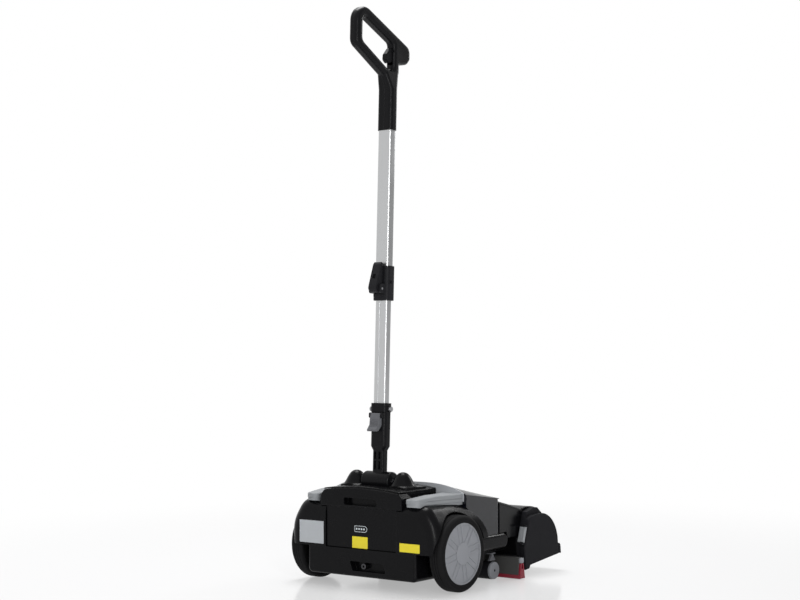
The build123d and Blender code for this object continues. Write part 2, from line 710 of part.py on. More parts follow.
def cheek_outline():
    low = 15.0
    front = BRUSH_Y + CHEEK_R
    rise = 124.5 - CHEEK_KNEE_Z
    crown = (CHEEK_REAR_Y + rise * tan(radians(CHEEK_LEAN)), 124.5)
    start, middle, end = [circle_point(BRUSH_Y, CHEEK_R, angle) for angle in (0, 43, 86)]
    face = make_face(
        [
            Line((CHEEK_REAR_Y, 8), (CHEEK_REAR_Y + 15, 8)),
            Line((CHEEK_REAR_Y + 15, 8), (CHEEK_REAR_Y + 21, low)),
            Line((CHEEK_REAR_Y + 21, low), (front, low)),
            Line((front, low), start),
            ThreePointArc(start, middle, end),
            Line(end, crown),
            Line(crown, (CHEEK_REAR_Y, CHEEK_KNEE_Z)),
            Line((CHEEK_REAR_Y, CHEEK_KNEE_Z), (CHEEK_REAR_Y, 8)),
        ]
    )
    corner = face.vertices().sort_by_distance((crown[0], crown[1], 0))[0]
    return fillet(corner, 16.0)


def flange_outline():
    """The raised edge of a cheek against the hood, with its hump over the motor."""
    low = 16.0
    front = BRUSH_Y + CHEEK_R
    start, middle, end = [circle_point(BRUSH_Y, CHEEK_R, angle) for angle in (0, 34, 68)]
    brow = (HOOD_BROW_Y - 3, 134)
    return make_face(
        [
            Line((HOOD_REAR_Y, low), (front, low)),
            Line((front, low), start),
            ThreePointArc(start, middle, end),
            Line(end, (334, 136.5)),
            ThreePointArc((334, 136.5), (324, 138.3), (312, 137.5)),
            Line((312, 137.5), brow),
            Line(brow, (HOOD_REAR_Y, HOOD_KNEE_Z)),
            Line((HOOD_REAR_Y, HOOD_KNEE_Z), (HOOD_REAR_Y, low)),
        ]
    )


def hood_outline(inset):
    """The hood over the brush from the side, open below, drawn in by inset."""
    low = 16.0
    r = HOOD_R - inset
    brow_angle = 98.0
    start, middle, brow = [circle_point(HOOD_ARC_Y, r, angle) for angle in (0, brow_angle / 2, brow_angle)]
    lean = (HOOD_BROW_Y - HOOD_REAR_Y) / (BRUSH_R + HOOD_R - HOOD_KNEE_Z)
    rear = HOOD_REAR_Y + inset
    knee = HOOD_KNEE_Z - inset * lean
    top = (rear + (brow[1] - knee) * lean, brow[1])
    return make_face(
        [
            Line((rear, low), (HOOD_ARC_Y + r, low)),
            Line((HOOD_ARC_Y + r, low), start),
            ThreePointArc(start, middle, brow),
            Line(brow, top),
            Line(top, (rear, knee)),
            Line((rear, knee), (rear, low)),
        ]
    )


def brush_hood():
    inner = hood_outline(WALL)
    shape = side_prism(hood_outline(0), HOOD_LEFT, HOOD_RIGHT)
    shape -= side_prism(inner, HOOD_LEFT + WALL, HOOD_RIGHT - WALL)
    inside = HOOD_REAR_Y + WALL
    mouth = slab(HOOD_LEFT - 1, HOOD_RIGHT + 1, inside, HOOD_ARC_Y + HOOD_R - WALL, 0, BRUSH_Z - 20)
    shape -= mouth + rod(HOOD_LEFT - 1, HOOD_RIGHT + 1, BRUSH_Y, BRUSH_Z, BRUSH_R + 4)
    shape -= rod(HOOD_LEFT - 1, HOOD_LEFT + 10, MOTOR_Y, MOTOR_Z, MOTOR_SHAFT_R + 3)
    block = slab(0, 6, MOTOR_Y - MOTOR_R - 1, MOTOR_Y + MOTOR_R + 1, MOTOR_Z, FAR) & side_prism(inner, 0, 6)
    cradle = block - rod(-1, 7, MOTOR_Y, MOTOR_Z, MOTOR_R)
    shape += Pos(-142, 0, 0) * cradle
    shape += Pos(-76, 0, 0) * cradle
    return on_head(shape)


def cheek(inner):
    """A right-hand cheek whose flange starts at inner."""
    plate = side_prism(cheek_outline(), CHEEK_STEP - 1, CHEEK_FACE)
    plate = fillet(plate.faces().sort_by(Axis.X)[-1].edges(), 2.5)
    shape = plate + side_prism(flange_outline(), inner, CHEEK_STEP)
    shape -= side_prism(offset(cheek_outline(), amount=-4.0), CHEEK_STEP - 4, CHEEK_FACE - 4)
    shape -= side_prism(offset(flange_outline(), amount=-WALL), inner - 1, CHEEK_STEP - 2.5)
    return shape + rod(inner - 16, CHEEK_FACE - 3, BRUSH_Y, BRUSH_Z, STUB_R)


def on_cheek_back(shape):
    """From a place flat on the back of the right cheek to the leaning back itself."""
    return on_head(Pos(0, CHEEK_REAR_Y, CHEEK_KNEE_Z) * Rot(-CHEEK_LEAN, 0, 0) * shape)


def cheek_right():
    ear = slab(LATCH_PIN_X - 4, LATCH_PIN_X + 4, -9.5, 2, LATCH_LOW - 4, LATCH_LOW)
    ears = ear + Pos(0, 0, LATCH_HIGH - LATCH_LOW + 4) * ear
    pin = post(LATCH_PIN_X, LATCH_PIN_Y, 0, LATCH_HIGH + 10, LATCH_PIN_R + RUNNING_GAP)
    return on_head(cheek(HOOD_RIGHT + CLEAR)) + on_cheek_back(ears - pin) - on_cheek_back(pin)


def cheek_left():
    return on_head(mirrored(cheek(-HOOD_LEFT + CLEAR)))


def cheek_latch():
    back, front = -8.5, -2.9
    shape = slab(LATCH_PIN_X - 12.5, LATCH_PIN_X + 4, back, front, LATCH_LOW + CLEAR, LATCH_HIGH - CLEAR)
    shape = fillet(shape.faces().sort_by(Axis.Y)[0].edges(), 2.5)
    for inset in (9.5, 6.5, 3.5):
        x = LATCH_PIN_X - inset
        shape -= slab(x, x + 1.4, back - 1, back + 1, LATCH_LOW + 6, LATCH_HIGH - 6)
    pin = post(LATCH_PIN_X, LATCH_PIN_Y, LATCH_LOW - 3.5, LATCH_HIGH + 3.5, LATCH_PIN_R)
    return on_cheek_back(shape + pin)


def front_skirt():
    reach = BRUSH_Y + CHEEK_R
    face = Polygon((reach, 16), (reach + 9, 14), (reach + 9, 35), (reach + 5, 39), (reach, 39))
    return on_head(side_prism(face, -CHEEK_FACE, CHEEK_FACE))


def rear_skirt():
    return on_head(slab(HOOD_LEFT, HOOD_RIGHT, HOOD_REAR_Y - 2.5, HOOD_REAR_Y, 4, 40))


def nose_block(inset, open_by):
    """The nose behind the hood: its plan narrows forward and its crowned top slopes down."""
    back = TANK_FRONT + 0.7
    front = HOOD_BROW_Y + 10
    plan = Polygon(
        (-NOSE_HALF + inset, back + inset), (NOSE_HALF - inset, back + inset),
        (NOSE_FRONT_HALF - inset, front), (-NOSE_FRONT_HALF + inset, front),
    )
    shoulder = HINGE_Z + ARM_R + 1
    belly = HINGE_Z + 3
    side = Polygon(
        (back, shoulder - open_by), (HINGE_Y + 19, shoulder - open_by), (HINGE_Y + 22, belly - open_by),
        (front, belly - open_by), (front, LID_CROWN_FRONT), (back, LID_CROWN_FRONT),
    )
    half = NOSE_HALF + 1
    rear = lid_section(
        back - 1, half, 0, NOSE_EDGE_BACK - inset, NOSE_CROWN_BACK - inset, LID_FULL_FRONT
    )
    ahead = lid_section(
        front + 1, half, 0, NOSE_FRONT_Z - inset, NOSE_CROWN_FRONT - inset, LID_FULL_FRONT
    )
    roof = loft([rear, ahead], ruled=True)
    return plan_prism(plan, 0, FAR) & side_prism(side, -FAR, FAR) & roof


def nose_shell():
    lean = (HOOD_BROW_Y - HOOD_REAR_Y) / (BRUSH_R + HOOD_R - HOOD_KNEE_Z)
    rear = HOOD_REAR_Y - 0.2
    high = HOOD_KNEE_Z + 200
    ahead = Polygon(
        (rear, -FAR), (FAR, -FAR), (FAR, high), (rear + (high - HOOD_KNEE_Z) * lean, high),
        (rear, HOOD_KNEE_Z),
    )
    outer = nose_block(0, 0)
    edges = outer.faces().sort_by(Axis.Z)[-1].edges().sort_by(Axis.X)
    outer = fillet(edges[:1] + edges[-1:], 8.0)
    shape = outer - nose_block(WALL, 40)
    lug = slab(ARM_INNER - 14, ARM_INNER - 2, HINGE_Y - 12, HINGE_Y + 50, HINGE_Z, FAR) & outer
    lug += rod(ARM_INNER - 14, ARM_INNER - 2, HINGE_Y, HINGE_Z, ARM_R - 2)
    lug += slab(ARM_INNER - 14, ARM_INNER - 2, HINGE_Y - 12, HINGE_Y + 12, HINGE_Z, HINGE_Z + 22)
    shape += both(lug)
    shape -= rod(-FAR, FAR, HINGE_Y, HINGE_Z, HINGE_PIN_R + RUNNING_GAP)
    return shape - on_head(side_prism(ahead, -FAR, FAR))


def head_hinge_pins():
    return both(rod(ARM_INNER - 16, ARM_OUTER - 6, HINGE_Y, HINGE_Z, HINGE_PIN_R))


def brush_core():
    """The tube that the bristles are on; the stubs of the cheeks reach into its square hole."""
    hole = 2 * (STUB_R + STUB_PLAY)
    square = Pos(0, BRUSH_Y, BRUSH_Z) * Rot(-HEAD_LIFT, 0, 0) * Box(FAR, hole, hole)
    return on_head(rod(HOOD_LEFT + 6, HOOD_RIGHT - 4, BRUSH_Y, BRUSH_Z, CORE_R) - square)


def bristle_strip():
    """A quarter of the bristles, on the backing that clips round the core."""
    sleeve = 2.0
    x0, x1 = HOOD_LEFT + 8, HOOD_RIGHT - 6
    ring = Circle(CORE_R + sleeve) - Circle(CORE_R)
    quarter = Pos(-FAR / 2 - CLEAR / 2, FAR / 2 + CLEAR / 2) * Rectangle(FAR, FAR)
    backing = side_prism(ring & quarter, x0, x1)
    tuft = slab(
        -TUFT_WIDTH / 2, TUFT_WIDTH / 2, -TUFT_WIDTH / 2, TUFT_WIDTH / 2, CORE_R + sleeve / 2, BRUSH_R
    )
    pitch = (x1 - x0 - 2 * TUFT_WIDTH) / (TUFT_COLUMNS - 1)
    strands = []
    for column in range(TUFT_COLUMNS):
        for row in range(TUFT_ROWS):
            turn = 360.0 / BRISTLE_STRIPS / TUFT_ROWS * (row + 0.25 + 0.5 * (column % 2))
            strands.append(Pos(x0 + TUFT_WIDTH + column * pitch, 0, 0) * Rot(turn, 0, 0) * tuft)
    return backing.fuse(*strands)


def brush_bristles():
    strip = bristle_strip()
    strips = [Rot(360.0 / BRISTLE_STRIPS * i, 0, 0) * strip for i in range(BRISTLE_STRIPS)]
    return on_head(Pos(0, BRUSH_Y, BRUSH_Z) * Compound(children=strips))


def brush_pulley():
    shape = rod(-PULLEY_OUT, -PULLEY_IN, BRUSH_Y, BRUSH_Z, BRUSH_PULLEY_R)
    shape += rod(-PULLEY_IN, HOOD_LEFT + 6, BRUSH_Y, BRUSH_Z, STUB_R + 6)
    return on_head(shape - rod(-FAR, FAR, BRUSH_Y, BRUSH_Z, STUB_R + RUNNING_GAP))


def motor_pulley():
    shape = rod(-PULLEY_OUT, -PULLEY_IN, MOTOR_Y, MOTOR_Z, MOTOR_PULLEY_R)
    return on_head(shape + rod(-PULLEY_IN, -130, MOTOR_Y, MOTOR_Z, MOTOR_SHAFT_R))


def brush_motor():
    shape = rod(-150, -55, MOTOR_Y, MOTOR_Z, MOTOR_R)
    return on_head(shape - rod(-151, -128, MOTOR_Y, MOTOR_Z, MOTOR_SHAFT_R + RUNNING_GAP))


def belt_loop(gap):
    """The outline of a band round both pulleys, standing off them by gap."""
    brush_ring = Pos(BRUSH_Y, BRUSH_Z) * Circle(BRUSH_PULLEY_R + gap)
    motor_ring = Pos(MOTOR_Y, MOTOR_Z) * Circle(MOTOR_PULLEY_R + gap)
    return make_hull(brush_ring.edges() + motor_ring.edges())


def drive_belt():
    band = belt_loop(CLEAR + BELT_THICK) - belt_loop(CLEAR)
    return on_head(side_prism(band, -PULLEY_OUT + 0.5, -PULLEY_IN - 0.5))


# Rollers and squeegee

def roller():
    shape = rod(ROLLER_INNER, ROLLER_OUTER - ROLLER_CAP, ROLLER_Y, ROLLER_R, ROLLER_R)
    shape = fillet(shape.edges().filter_by(GeomType.CIRCLE), 2.0)
    return shape - rod(0, FAR, ROLLER_Y, ROLLER_R, ROLLER_PIN_R + RUNNING_GAP)


def roller_cap():
    inner = ROLLER_OUTER - ROLLER_CAP
    shape = rod(inner, ROLLER_OUTER, ROLLER_Y, ROLLER_R, ROLLER_R - 0.6)
    shape = fillet(shape.edges().filter_by(GeomType.CIRCLE).sort_by(Axis.X)[-1:], 2.0)
    shape -= rod(ROLLER_OUTER - 1, FAR, ROLLER_Y, ROLLER_R, 3.0)
    return shape - rod(0, inner + 2, ROLLER_Y, ROLLER_R, ROLLER_PIN_R + RUNNING_GAP)


def roller_brackets():
    plate_in = ROLLER_INNER - 8
    plate = slab(plate_in, ROLLER_INNER - 1, ROLLER_Y - 12, ROLLER_Y + 12, ROLLER_R, APRON_Z)
    plate += rod(plate_in, ROLLER_INNER - 1, ROLLER_Y, ROLLER_R, 12)
    bridge = slab(plate_in, ROLLER_OUTER - 2, ROLLER_Y - 12, ROLLER_Y + 6, APRON_Z - 3, APRON_Z)
    low = 2 * ROLLER_R + 2.6
    guard = Polygon((ROLLER_Y - 16, low), (ROLLER_Y + 6, low), (ROLLER_Y - 5, APRON_Z))
    bridge += side_prism(guard, ROLLER_OUTER - 8, ROLLER_OUTER - 2)
    pin = rod(plate_in, ROLLER_OUTER - ROLLER_CAP + 1.5, ROLLER_Y, ROLLER_R, ROLLER_PIN_R)
    return both(plate + bridge + pin)


def blade_face(side):
    """A blade from the side, leaning out from its slot to just off the floor."""
    top = SQUEEGEE_Y + side * 2.0
    foot = SQUEEGEE_Y + side * 7.5
    thick = side * BLADE_THICK
    return Polygon(
        (top, BLADE_TOP), (top + thick, BLADE_TOP), (foot + thick, BLADE_FLOOR_GAP), (foot, BLADE_FLOOR_GAP)
    )


def squeegee_carrier():
    face = rounded(
        [
            (SQUEEGEE_Y - 6, SQUEEGEE_TOP), (SQUEEGEE_Y - 12, CARRIER_LOW),
            (SQUEEGEE_Y + 12, CARRIER_LOW), (SQUEEGEE_Y + 6, SQUEEGEE_TOP),
        ],
        [2.5, 1.5, 1.5, 2.5],
    )
    shape = side_prism(face, -SQUEEGEE_HALF, SQUEEGEE_HALF)
    for side in (-1, 1):
        shape -= side_prism(blade_face(side), -FAR, FAR)
    return shape + both(post(GUIDE_X, SQUEEGEE_Y, SQUEEGEE_TOP - 4, APRON_Z + 9, GUIDE_R))


def squeegee_blade(side):
    return side_prism(blade_face(side), -SQUEEGEE_HALF - 5, SQUEEGEE_HALF + 5)


def squeegee_end_clips():
    low, high = BLADE_TOP + 0.5, SQUEEGEE_TOP - 1
    clip = slab(SQUEEGEE_HALF, SQUEEGEE_HALF + 4, SQUEEGEE_Y - 7, SQUEEGEE_Y + 7, low, high)
    return both(fillet(clip.edges().filter_by(Axis.X), 3.0))


# Inner machinery

def vacuum_motor():
    left, right = -130, -20
    shape = rod(left, right, FAN_Y, FAN_Z, VACUUM_R)
    shape -= rod(right - 18, right + 1, FAN_Y, FAN_Z, FAN_R + 1.5)
    shape -= rod(right - 40, right, FAN_Y, FAN_Z, 4 + RUNNING_GAP)
    foot = slab(0, 14, FAN_Y - 18, FAN_Y + 18, FLOOR_Z + WALL, FAN_Z - 20)
    return shape + Pos(left + 8, 0, 0) * foot + Pos(right - 50, 0, 0) * foot


def vacuum_fan():
    right = -20
    disc = rod(right - 17, right - 14, FAN_Y, FAN_Z, FAN_R)
    blade = slab(right - 14.5, right - 6, -1, 1, 10, FAN_R - 1)
    blades = [Pos(0, FAN_Y, FAN_Z) * Rot(40.0 * i, 0, 0) * blade for i in range(9)]
    hub_piece = rod(right - 15, right - 5, FAN_Y, FAN_Z, 11)
    return disc + hub_piece + blades + rod(right - 38, right - 15, FAN_Y, FAN_Z, 4)


def water_tank():
    floor = FLOOR_Z + WALL
    face = Polygon((110, floor), (143, floor), (162, APRON_Z + WALL), (162, 100), (110, 100))
    half = ARM_INNER - 10
    shape = side_prism(face, -half, half)
    inner = Polygon((113, floor + 3), (141, floor + 3), (159, APRON_Z + 7), (159, 97), (113, 97))
    return shape - side_prism(inner, WALL - half, half - WALL)


def water_pump():
    floor = FLOOR_Z + WALL
    body = slab(70, 112, 52, 88, floor, floor + 30)
    body = fillet(body.edges().filter_by(Axis.Z), 4.0)
    return body + post(91, 70, floor + 29, floor + 52, 14)


# Handle

def handle_socket():
    barrel = rod(-KNUCKLE_HALF, KNUCKLE_HALF, 0, 0, KNUCKLE_R)
    barrel = fillet(barrel.edges().filter_by(GeomType.CIRCLE), 5.0)
    shape = barrel + stick(30, 21, 6, 6, NECK_TOP)
    wide, deep = LOWER_TUBE_X + 2 * SOCKET_WALL, LOWER_TUBE_Y + 2 * SOCKET_WALL
    shape += loft([section(30, 21, 6, NECK_TOP), section(wide, deep, 9, SOCKET_BOTTOM)], ruled=True)
    shape += stick(wide, deep, 9, SOCKET_BOTTOM, SOCKET_TOP)
    shape += stick(wide + 2.5, deep + 2.5, 10, SOCKET_TOP - 20, SOCKET_TOP)
    shape += rod(-BOLT_BOSS_HALF, BOLT_BOSS_HALF, 0, SOCKET_TOP - 13, 7)
    fit = 0.1
    shape -= stick(LOWER_TUBE_X + fit, LOWER_TUBE_Y + fit, TUBE_CORNER - 1, TUBE_SEAT, SOCKET_TOP + 1)
    for x in (-6.0, 6.0):
        for s0, s1 in ((26.0, 44.0), (49.0, 65.0)):
            shape -= slab(x - 3, x + 3, -12, -4, s0, s1)
    ear = slab(13.5, 18, -21, -12, 139, 151)
    ear = fillet(ear.edges().filter_by(Axis.X).sort_by(Axis.Y)[:2], 3.5)
    shape += both(ear)
    shape -= rod(-16.5, 16.5, LEVER_PIN_Y, LEVER_PIN_S, 2 + RUNNING_GAP)
    shape -= rod(-FAR, FAR, 0, SOCKET_TOP - 13, BOLT_R)
    return on_handle(shape - rod(-FAR, FAR, 0, 0, PIVOT_R + RUNNING_GAP))


def socket_bolt():
    end = BOLT_BOSS_HALF + 4.0
    shape = rod(1 - end, end - 1, 0, SOCKET_TOP - 13, BOLT_R)
    head = rod(BOLT_BOSS_HALF, end, 0, SOCKET_TOP - 13, 5.5)
    return on_handle(shape + both(head))


def release_lever():
    face = rounded(
        [
            (-16, 150), (-20, 150), (-23, 140), (-24.5, 124), (-33, 113), (-31, 109.5), (-25, 111),
            (-14, 122), (-14, 142),
        ],
        [1.0, 2.5, 6.0, 6.0, 1.5, 1.2, 4.0, 4.0, 2.0],
    )
    shape = side_prism(face, -13, 13)
    return on_handle(shape + rod(-16.3, 16.3, LEVER_PIN_Y, LEVER_PIN_S, 2))


def lower_tube():
    s0, s1 = TUBE_SEAT, LOWER_TUBE_TOP
    shape = stick(LOWER_TUBE_X, LOWER_TUBE_Y, TUBE_CORNER - 1, s0, s1)
    inner_corner = TUBE_CORNER - 1 - TUBE_WALL
    shape -= stick(
        LOWER_TUBE_X - 2 * TUBE_WALL, LOWER_TUBE_Y - 2 * TUBE_WALL, inner_corner, s0 - 1, s1 + 1
    )
    back = -LOWER_TUBE_Y / 2
    shape += slab(-5.6, 5.6, back + TUBE_WALL, back + 2 * TUBE_WALL, s0, s1)
    shape -= slab(-4.2, 4.2, back - 1, back + TUBE_WALL, SOCKET_TOP, s1 + 1)
    return on_handle(shape - rod(-FAR, FAR, 0, SOCKET_TOP - 13, BOLT_R))


def upper_tube():
    s0, s1 = CLAMP_BOTTOM + 12, UPPER_TUBE_TOP
    shape = stick(UPPER_TUBE_X, UPPER_TUBE_Y, TUBE_CORNER, s0, s1)
    hollow = stick(
        UPPER_TUBE_X - 2 * TUBE_WALL, UPPER_TUBE_Y - 2 * TUBE_WALL, TUBE_CORNER - TUBE_WALL, s0 - 1, s1 + 1
    )
    return on_handle(shape - hollow)


def clamp_body():
    wide, deep = UPPER_TUBE_X + 2 * CLAMP_WALL, UPPER_TUBE_Y + 2 * CLAMP_WALL
    shape = stick(wide, deep, 10, CLAMP_BOTTOM, CLAMP_TOP)
    ends = shape.faces().filter_by(Axis.Z).edges()
    shape = fillet(ends, 1.5)
    shape += slab(-16, 16, -16.5, -8, CLAMP_BOTTOM + 9, CLAMP_TOP - 8)
    ear = slab(11, 16, -33, -12, CLAMP_PIN_S - 10, CLAMP_PIN_S + 11)
    ear = fillet(ear.edges().filter_by(Axis.X).sort_by(Axis.Y)[:2], 6.0)
    shape += both(ear)
    seat = CLAMP_BOTTOM + 12
    shape -= stick(UPPER_TUBE_X, UPPER_TUBE_Y, TUBE_CORNER, seat, CLAMP_TOP + 1)
    guide_x = LOWER_TUBE_X + 2 * CLEAR
    guide_y = LOWER_TUBE_Y + 2 * CLEAR
    shape -= stick(guide_x, guide_y, TUBE_CORNER - 1, CLAMP_BOTTOM - 1, seat + 1)
    shape -= slab(-1, 1, 8, 20, CLAMP_BOTTOM - 1, CLAMP_TOP + 1)
    shape -= slab(wide / 2 - 2.5, FAR, 3 - deep / 2, 0, CLAMP_TOP - 40, CLAMP_TOP - 33)
    return on_handle(shape - rod(-FAR, FAR, CLAMP_PIN_Y, CLAMP_PIN_S, CLAMP_PIN_R))


def clamp_pin():
    return on_handle(rod(-17, 17, CLAMP_PIN_Y, CLAMP_PIN_S, CLAMP_PIN_R))


def clamp_lever():
    s = CLAMP_PIN_S
    face = rounded(
        [
            (-17.3, s + 57), (-22, s + 60), (-27, s + 54), (-41, s + 9), (-43, s), (-38, s - 8),
            (-28, s - 9.5), (-20.5, s - 7), (-17.3, s),
        ],
        [1.5, 2.0, 4.0, 8.0, 5.0, 4.0, 6.0, 3.0, 4.0],
    )
    shape = side_prism(face, -10.6, 10.6)
    shape = fillet(shape.faces().sort_by(Axis.X)[-1].edges() + shape.faces().sort_by(Axis.X)[0].edges(), 1.0)
    shape -= slab(-4, 4, -60, -30, s + 22, s + 32)
    return on_handle(shape - rod(-FAR, FAR, CLAMP_PIN_Y, CLAMP_PIN_S, CLAMP_PIN_R + RUNNING_GAP))


def loop_face():
    """The outline of the loop grip, with its hand hole, in Y and along the handle."""
    upper = (REAR_BAR_Y, REAR_BAR_HIGH)
    lower = (REAR_BAR_Y, REAR_BAR_LOW)
    top = shifted(upper, UPPER_SLOPE, UPPER_BAR_R)
    roof = shifted(upper, UPPER_SLOPE, -UPPER_BAR_R)
    floor = shifted(lower, LOWER_SLOPE, LOWER_BAR_R)
    under = shifted(lower, LOWER_SLOPE, -LOWER_BAR_R)
    back = REAR_BAR_Y - UPPER_BAR_R
    inside = REAR_BAR_Y + UPPER_BAR_R
    outer = rounded(
        [
            (-13, SLEEVE_TOP - 10), meet(under, LOWER_SLOPE, -13), meet(under, LOWER_SLOPE, back),
            meet(top, UPPER_SLOPE, back), meet(top, UPPER_SLOPE, GRIP_NOSE_Y),
            (GRIP_NOSE_Y, SLEEVE_TOP + 77), (GRIP_NOSE_Y - 10, SLEEVE_TOP + 66),
            (COLUMN_FRONT, SLEEVE_TOP + 60), (COLUMN_FRONT, SLEEVE_TOP + 40), (13, SLEEVE_TOP + 12),
            (13, SLEEVE_TOP - 10),
        ],
        [0, 24, 22, 33, 20, 11, 11, 6, 14, 20, 0],
    )
    hole = rounded(
        [
            meet(floor, LOWER_SLOPE, inside), meet(floor, LOWER_SLOPE, COLUMN_BACK),
            meet(roof, UPPER_SLOPE, COLUMN_BACK), meet(roof, UPPER_SLOPE, inside),
        ],
        [13, 10, 10, 11],
    )
    return outer, hole


def screw_places():
    return (
        (REAR_BAR_Y, (REAR_BAR_LOW + REAR_BAR_HIGH) / 2),
        meet((REAR_BAR_Y, REAR_BAR_LOW), LOWER_SLOPE, -60),
        meet((REAR_BAR_Y, REAR_BAR_HIGH), UPPER_SLOPE, -45),
        (48, SLEEVE_TOP + 90),
    )


def grip_screws():
    screws = []
    for y, s in screw_places():
        screws.append(rod(-9, 8, y, s, SCREW_R) + rod(1.5 - LOOP_HALF, -9, y, s, SCREW_HEAD_R))
    return on_handle(screws[0] + screws[1:])


def trigger_face(grow):
    y, s = TRIGGER_PIVOT_Y, TRIGGER_PIVOT_S
    face = rounded(
        [
            (y + 4, s + 6), (y - 8, s + 7), (y - 22, s - 10), (y - 23, s - 22), (y - 14, s - 29),
            (y + 3, s - 24),
        ],
        [4, 5, 7, 6, 6, 4],
    )
    return offset(face, amount=grow) if grow else face


def switch_trigger():
    shape = side_prism(trigger_face(0), -6.5, 6.5)
    shape = fillet(shape.faces().sort_by(Axis.X)[-1].edges() + shape.faces().sort_by(Axis.X)[0].edges(), 2.0)
    return on_handle(shape + rod(-11.5, 11.5, TRIGGER_PIVOT_Y, TRIGGER_PIVOT_S, 2.5))


def grip_body():
    outer, hole = loop_face()
    loop = side_prism(outer, -LOOP_HALF, LOOP_HALF) - side_prism(hole, -LOOP_HALF - 1, LOOP_HALF + 1)
    flats = loop.faces().sort_by(Axis.X)
    rims = flats[-1].edges() + flats[0].edges()
    low = SLEEVE_TOP - 9
    loop = fillet([edge for edge in rims if edge.center().Z > low], 9.0)
    thick = 1.5 * WALL
    core = offset(outer, amount=-thick) - offset(hole, amount=thick)
    loop -= side_prism(core, -LOOP_HALF + thick, LOOP_HALF - thick) & slab(
        -FAR, FAR, -FAR, FAR, SLEEVE_TOP + 44, 2 * FAR
    )
    sleeve_x, sleeve_y = UPPER_TUBE_X + 4.5, UPPER_TUBE_Y + 4.5
    shape = loop + stick(sleeve_x, sleeve_y, TUBE_CORNER + 3, SLEEVE_BOTTOM, SLEEVE_TOP)
    shape += loft(
        [
            section(sleeve_x, sleeve_y, TUBE_CORNER + 3, SLEEVE_TOP),
            Pos(0, -1.5, 0) * section(2 * LOOP_HALF, 2 * COLUMN_FRONT, TUBE_CORNER + 3, SLEEVE_TOP + 40),
        ],
        ruled=True,
    )
    for y, s in screw_places():
        shape += rod(-LOOP_HALF + 1, LOOP_HALF - 1, y, s, SCREW_HEAD_R + 2)
        shape -= rod(-FAR, 8, y, s, SCREW_R)
        shape -= rod(-FAR, -9, y, s, SCREW_HEAD_R)
    shape -= stick(UPPER_TUBE_X, UPPER_TUBE_Y, TUBE_CORNER, SLEEVE_BOTTOM - 1, UPPER_TUBE_TOP)
    y, s = TRIGGER_PIVOT_Y, TRIGGER_PIVOT_S
    room = side_prism(trigger_face(1.0), -7, 7)
    for angle in (0, 8, 16):
        shape -= Pos(0, y, s) * Rot(angle, 0, 0) * Pos(0, -y, -s) * room
    return shape - rod(-11.7, 11.7, y, s, 2.5 + RUNNING_GAP)


def grip_shell(keep_left):
    half = slab(-FAR, 0, -FAR, FAR, 0, 2 * FAR) if keep_left else slab(0, FAR, -FAR, FAR, 0, 2 * FAR)
    return on_handle(grip_body() & half)


def build():
    """Every piece by name, about the floor below the wheel axle."""
    return {
        "tyre_right": tyre(), "tyre_left": mirrored(tyre()),
        "hub_right": hub(), "hub_left": mirrored(hub()),
        "hub_cap_right": hub_cap(), "hub_cap_left": mirrored(hub_cap()),
        "wheel_axle": wheel_axle(), "chassis_pan": chassis_pan(), "charge_socket": charge_socket(),
        "main_housing": main_housing(), "deck_cover": deck_cover(),
        "yoke_cover": yoke_cover(), "pivot_axle": pivot_axle(),
        "battery_panel": battery_panel(), "battery_case": battery_case(),
        "charge_gauge": charge_gauge(),
        "recovery_tank": recovery_tank(), "tank_float": tank_float(), "tank_lid": tank_lid(),
        "side_grip_right": side_grip(), "side_grip_left": mirrored(side_grip()),
        "nose_shell": nose_shell(), "head_hinge_pins": head_hinge_pins(),
        "brush_hood": brush_hood(), "cheek_right": cheek_right(), "cheek_left": cheek_left(),
        "cheek_latch": cheek_latch(), "front_skirt": front_skirt(), "rear_skirt": rear_skirt(),
        "brush_core": brush_core(), "brush_bristles": brush_bristles(),
        "brush_pulley": brush_pulley(), "motor_pulley": motor_pulley(),
        "brush_motor": brush_motor(), "drive_belt": drive_belt(),
        "roller_right": roller(), "roller_left": mirrored(roller()),
        "roller_cap_right": roller_cap(), "roller_cap_left": mirrored(roller_cap()),
        "roller_brackets": roller_brackets(),
        "squeegee_carrier": squeegee_carrier(),
        "squeegee_blade_front": squeegee_blade(1), "squeegee_blade_rear": squeegee_blade(-1),
        "squeegee_end_clips": squeegee_end_clips(),
        "vacuum_motor": vacuum_motor(), "vacuum_fan": vacuum_fan(),
        "water_tank": water_tank(), "water_pump": water_pump(),
        "handle_socket": handle_socket(), "socket_bolt": socket_bolt(),
        "release_lever": release_lever(), "lower_tube": lower_tube(),
        "upper_tube": upper_tube(), "clamp_body": clamp_body(), "clamp_pin": clamp_pin(),
        "clamp_lever": clamp_lever(), "grip_screws": grip_screws(),
        "switch_trigger": switch_trigger(),
        "grip_shell_right": grip_shell(False), "grip_shell_left": grip_shell(True),
    }


def main():
    pieces = build()
    box = Compound(children=[Compound(piece.solids()) for piece in pieces.values()]).bounding_box()
    centred = Pos(-(box.min.X + box.max.X) / 2, -(box.min.Y + box.max.Y) / 2, -box.min.Z)
    os.makedirs("parts", exist_ok=True)
    for name, piece in pieces.items():
        export_step(centred * piece, os.path.join("parts", name + ".step"))
    print(len(pieces), "pieces, moved by", centred.position)


if __name__ == "__main__":
    main()
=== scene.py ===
import json
from math import cos, pi, radians, sin

import bmesh
import bpy
from bpy.props import FloatProperty, FloatVectorProperty, IntProperty, PointerProperty
from bpy.types import Operator, Panel, PropertyGroup
from mathutils import Matrix, Vector

